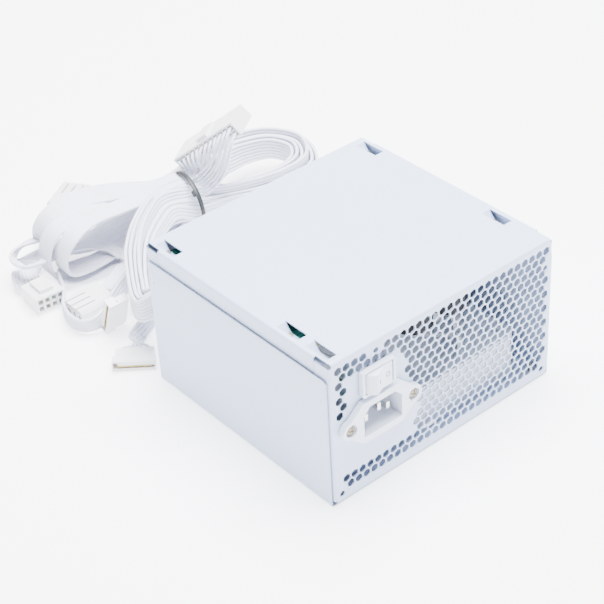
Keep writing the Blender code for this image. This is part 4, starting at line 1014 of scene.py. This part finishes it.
# %% Sizes of the case
WIDTH, DEPTH, HEIGHT = 150 * MM, 140 * MM, 86 * MM
chassis_low, chassis_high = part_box("chassis")
REAR, FRONT, FLOOR = chassis_low.y, chassis_high.y, chassis_low.z
SIDE = chassis_high.x
FLANGE = 10 * MM
run, spine, inward = bent_profile(
    [(REAR + FLANGE, FLOOR), (REAR, FLOOR), (REAR, HEIGHT), (FRONT, HEIGHT), (FRONT, FLOOR),
     (FRONT - FLANGE, FLOOR)], BEND)
edge_run, edge_points, _ = bent_profile([(0, 0), (SIDE, 0), (SIDE, -FLANGE)], BEND)
bends = [(run[1 + 7 * i], run[7 + 7 * i]) for i in range(4)]
print("the blank is", round(run[-1] * 1000), "mm long")


def on_rear(x, z):
    return x, bends[0][1] + z - (FLOOR + BEND)


def on_top(x, y):
    return x, bends[1][1] + y - (REAR + BEND)


def on_front(x, z):
    return x, bends[2][1] + (HEIGHT - BEND) - z


def fold_chassis(blank):
    """Folds the blank along both directions: across it X and depth, along it the profile."""
    u, v = blank.T
    x = np.interp(np.abs(u), edge_run, edge_points[:, 0]) * np.sign(u)
    depth = -np.interp(np.abs(u), edge_run, edge_points[:, 1])
    y = np.interp(v, run, spine[:, 0]) + depth * np.interp(v, run, inward[:, 0])
    z = np.interp(v, run, spine[:, 1]) + depth * np.interp(v, run, inward[:, 1])
    return np.stack([x, y, z], 1)


# %% [markdown]
# ### Chassis
#
# The rear panel is a fine grille: hexagons 4.35 mm across the flats, in rows 4.4 mm apart, each
# row shifted by half a pitch. The rows stop where the inlet and the switch are. Five
# stand-offs are pressed down from the top plate to carry the board, and each is open on one
# side, where the punch cut the steel.

# %% Holes of the chassis
GRILLE_PITCH, GRILLE_ROW, GRILLE_HOLE = 5.1 * MM, 4.4 * MM, 4.35 * MM
ROWS = [
    [(0, 3), (6, 27)], [(0, 26)], [(0, 0), (8, 26)], [(0, 0), (8, 26)], [(0, 0), (9, 27)],
    [(0, 0), (8, 26)], [(0, 0), (9, 27)], [(9, 26)], [(10, 27)], [(10, 26)], [(10, 27)],
    [(10, 26)], [(10, 27)], [(9, 26)], [(10, 27)], [(0, 26)], [(1, 26)],
]
holes = []
for row, spans in enumerate(ROWS):
    start = (-68.4 if row % 2 == 0 else -65.85) * MM
    for first, last in spans:
        for k in range(first, last + 1):
            centre = on_rear(start + k * GRILLE_PITCH, 80 * MM - row * GRILLE_ROW)
            holes.append(ring_of(centre, GRILLE_HOLE / math.sqrt(3), 6, math.pi / 2))
print(len(holes), "holes in the grille")

SCREW_HOLE = 1.6 * MM
for x, z in ((-69, 6), (69, 6), (69, 70), (-45, 80)):
    holes.append(ring_of(on_rear(x * MM, z * MM), SCREW_HOLE, 14))
inlet_hole = np.array([(-13.8, -11), (13.8, -11), (13.8, 6.5), (9.3, 11), (-9.3, 11),
                       (-13.8, 6.5)]) * MM
holes.append(np.array(on_rear(INLET_X, INLET_Z)) + inlet_hole)
switch_hole = np.array([(-9.6, -6.9), (9.6, -6.9), (9.6, 6.9), (-9.6, 6.9)]) * MM
holes.append(np.array(on_rear(PIVOT[0], PIVOT[2])) + switch_hole)
OUTLET_HOLE = 13.7 * MM
holes.append(ring_of(on_front(OUTLET[0], OUTLET[2]), OUTLET_HOLE, 32))

# %% Stand-offs of the top plate
LANCE_LONG, LANCE_WIDE, LANCE_DEEP, LANCE_LIP = 15.8 * MM, 6.2 * MM, 5.2 * MM, 7.7 * MM
LANCES = [(-65, 60.1), (-65, -35.0), (70.6, 60.1), (70.6, -35.0), (-65, -55.6)]


def stand_off(x, y):
    """A pressed pocket, open along its cut edge.

    Its depth is the least of the full depth, a steep rise from the far edge, and a slope from
    each end, blended with a soft minimum so that the steel bends instead of creasing.
    """
    s, t = np.meshgrid(np.linspace(0, 1, 14), np.linspace(-1, 1, 30), indexing="ij")
    from_edge = s * LANCE_WIDE * 3.4
    slope = 2 * LANCE_DEEP / (LANCE_LONG - LANCE_LIP)
    from_ends = (1 - np.abs(t)) * LANCE_LONG / 2 * slope
    sharp = 1.4 / MM
    least = np.minimum(np.minimum(from_edge, from_ends), LANCE_DEEP)
    total = sum(np.exp(-sharp * (d - least)) for d in (from_edge, from_ends, LANCE_DEEP))
    depth = np.clip(least - np.log(total) / sharp * (least > 0), 0, None)
    points = np.stack([x - LANCE_WIDE * (1 - s), y + t * LANCE_LONG / 2, HEIGHT - depth], -1)
    i, j = np.meshgrid(np.arange(13) * 30, np.arange(29), indexing="ij")
    k = (i + j).ravel()
    return points.reshape(-1, 3), np.stack([k, k + 30, k + 31, k + 1], 1)


pockets = [stand_off(x * MM, y * MM) for x, y in LANCES]
for x, y in LANCES:
    low, high = on_top((x - 6.2) * MM, (y - 7.9) * MM), on_top(x * MM, (y + 7.9) * MM)
    holes.append(np.array([low, (high[0], low[1]), high, (low[0], high[1])]))
print(len(pockets), "stand-offs")

# %% Blank of the chassis
tip, shoulder = edge_run[-1], edge_run[1]
RELIEF = 0.7 * MM
ROOM = FLANGE - BEND + 0.4 * MM
spans = [(bends[0][1] + RELIEF, bends[1][0] - RELIEF), (bends[1][1] + ROOM, bends[2][0] - ROOM),
         (bends[2][1] + RELIEF, bends[3][0] - RELIEF)]
side = [(shoulder, run[0])]
for low, high in spans:
    side += [(shoulder - RELIEF / 2, low), (tip, low), (tip, high), (shoulder - RELIEF / 2, high)]
side.append((shoulder, run[-1]))
outline = side + [(-u, v) for u, v in side[::-1]]
lines = [((-shoulder, v), (shoulder, v)) for v in run[1:-1]]
for u in edge_run[1:-1]:
    lines += [((sign * u, low), (sign * u, high)) for low, high in spans for sign in (-1, 1)]
blank, faces = cut_blank(outline, holes, lines)
points = fold_chassis(blank)
parts, total = [faces.tolist()], len(points)
for pocket, quads in pockets:
    parts.append((quads + total).tolist())
    points = np.vstack([points, pocket])
    total = len(points)
chassis = sheet_piece("chassis_sheet", points, np.array(sum(parts, []), object), "chassis")

# %% [markdown]
# ### Fan cover
#
# The cover is a second sheet folded into a U. Its floor has a pressed recess that brings the
# fan's mouth inward, so the guard does not stand proud, and each side has four small dimples
# that locate it on the flanges. The recess and the dimples are heights added to the folded
# surface, on vertices that were placed for them in the blank.

# %% Fan cover
COVER_TOP, SETBACK, NICK = 76.5 * MM, 1.2 * MM, 1.6 * MM
FAN_Y, FAN_BORE = (REAR + FRONT) / 2, 58.5 * MM
RECESS_DEEP, RECESS_HALF, RECESS_CORNER, RECESS_SLOPE = 4 * MM, 57.5 * MM, 7 * MM, 1.5 * MM
DIMPLE_DEEP, DIMPLE_RADIUS = 0.45 * MM, 1.5 * MM
cover_run, cover_spine, cover_inward = bent_profile(
    [(-WIDTH / 2, COVER_TOP), (-WIDTH / 2, 0), (WIDTH / 2, 0), (WIDTH / 2, COVER_TOP)], BEND)
low, high = REAR + SETBACK, FRONT - SETBACK
last = cover_run[-1]
outline = [(low, NICK), (low + NICK, 0), (high - NICK, 0), (high, NICK),
           (high, last - NICK), (high - NICK, last), (low + NICK, last), (low, last - NICK)]
lines = [((low, s), (high, s)) for s in cover_run[1:-1]]
middle = (FAN_Y, last / 2)
cover_holes = [ring_of(middle, FAN_BORE, 96)]
ramp = np.linspace(0, 1, 6)
loops = [rounded_square(middle, RECESS_HALF + RECESS_SLOPE * (1 - r), RECESS_CORNER) for r in ramp]
DIMPLES = [(-63.5, 63.6), (-64, 14.9), (65.9, 64.9), (64.5, 18)]
dimple_places = []
for y, z in DIMPLES:
    for s in (COVER_TOP - z * MM, last - COVER_TOP + z * MM):
        place = ((y + 1.0) * MM, s)
        dimple_places.append(place)
        loops += [ring_of(place, r * MM, 12) for r in (0.4, 0.8, 1.2, 1.5)]


def fold_cover(blank):
    """Folds the blank into a U, then presses in the recess and the dimples.

    The recess is RECESS_DEEP times a smooth step of how far a point is inside the rounded
    square, and a dimple is a cosine bowl.
    """
    y, s = blank.T
    x = np.interp(s, cover_run, cover_spine[:, 0])
    z = np.interp(s, cover_run, cover_spine[:, 1])
    nx = np.interp(s, cover_run, cover_inward[:, 0])
    nz = np.interp(s, cover_run, cover_inward[:, 1])
    off = np.abs(blank - middle)
    past = off - (RECESS_HALF - RECESS_CORNER)
    reach = np.hypot(*np.maximum(past, 0).T) + np.minimum(past.max(axis=1), 0)
    t = np.clip((RECESS_CORNER + RECESS_SLOPE - reach) / RECESS_SLOPE, 0, 1)
    press = RECESS_DEEP * t * t * (3 - 2 * t)
    for place in dimple_places:
        r = np.clip(np.hypot(*(blank - place).T) / DIMPLE_RADIUS, 0, 1)
        press = press + DIMPLE_DEEP * (1 + np.cos(math.pi * r)) / 2
    return np.stack([x + nx * press, y, z + nz * press], 1)


blank, faces = cut_blank(outline, cover_holes, lines, loops)
cover = sheet_piece("cover_sheet", fold_cover(blank), faces, "cover")
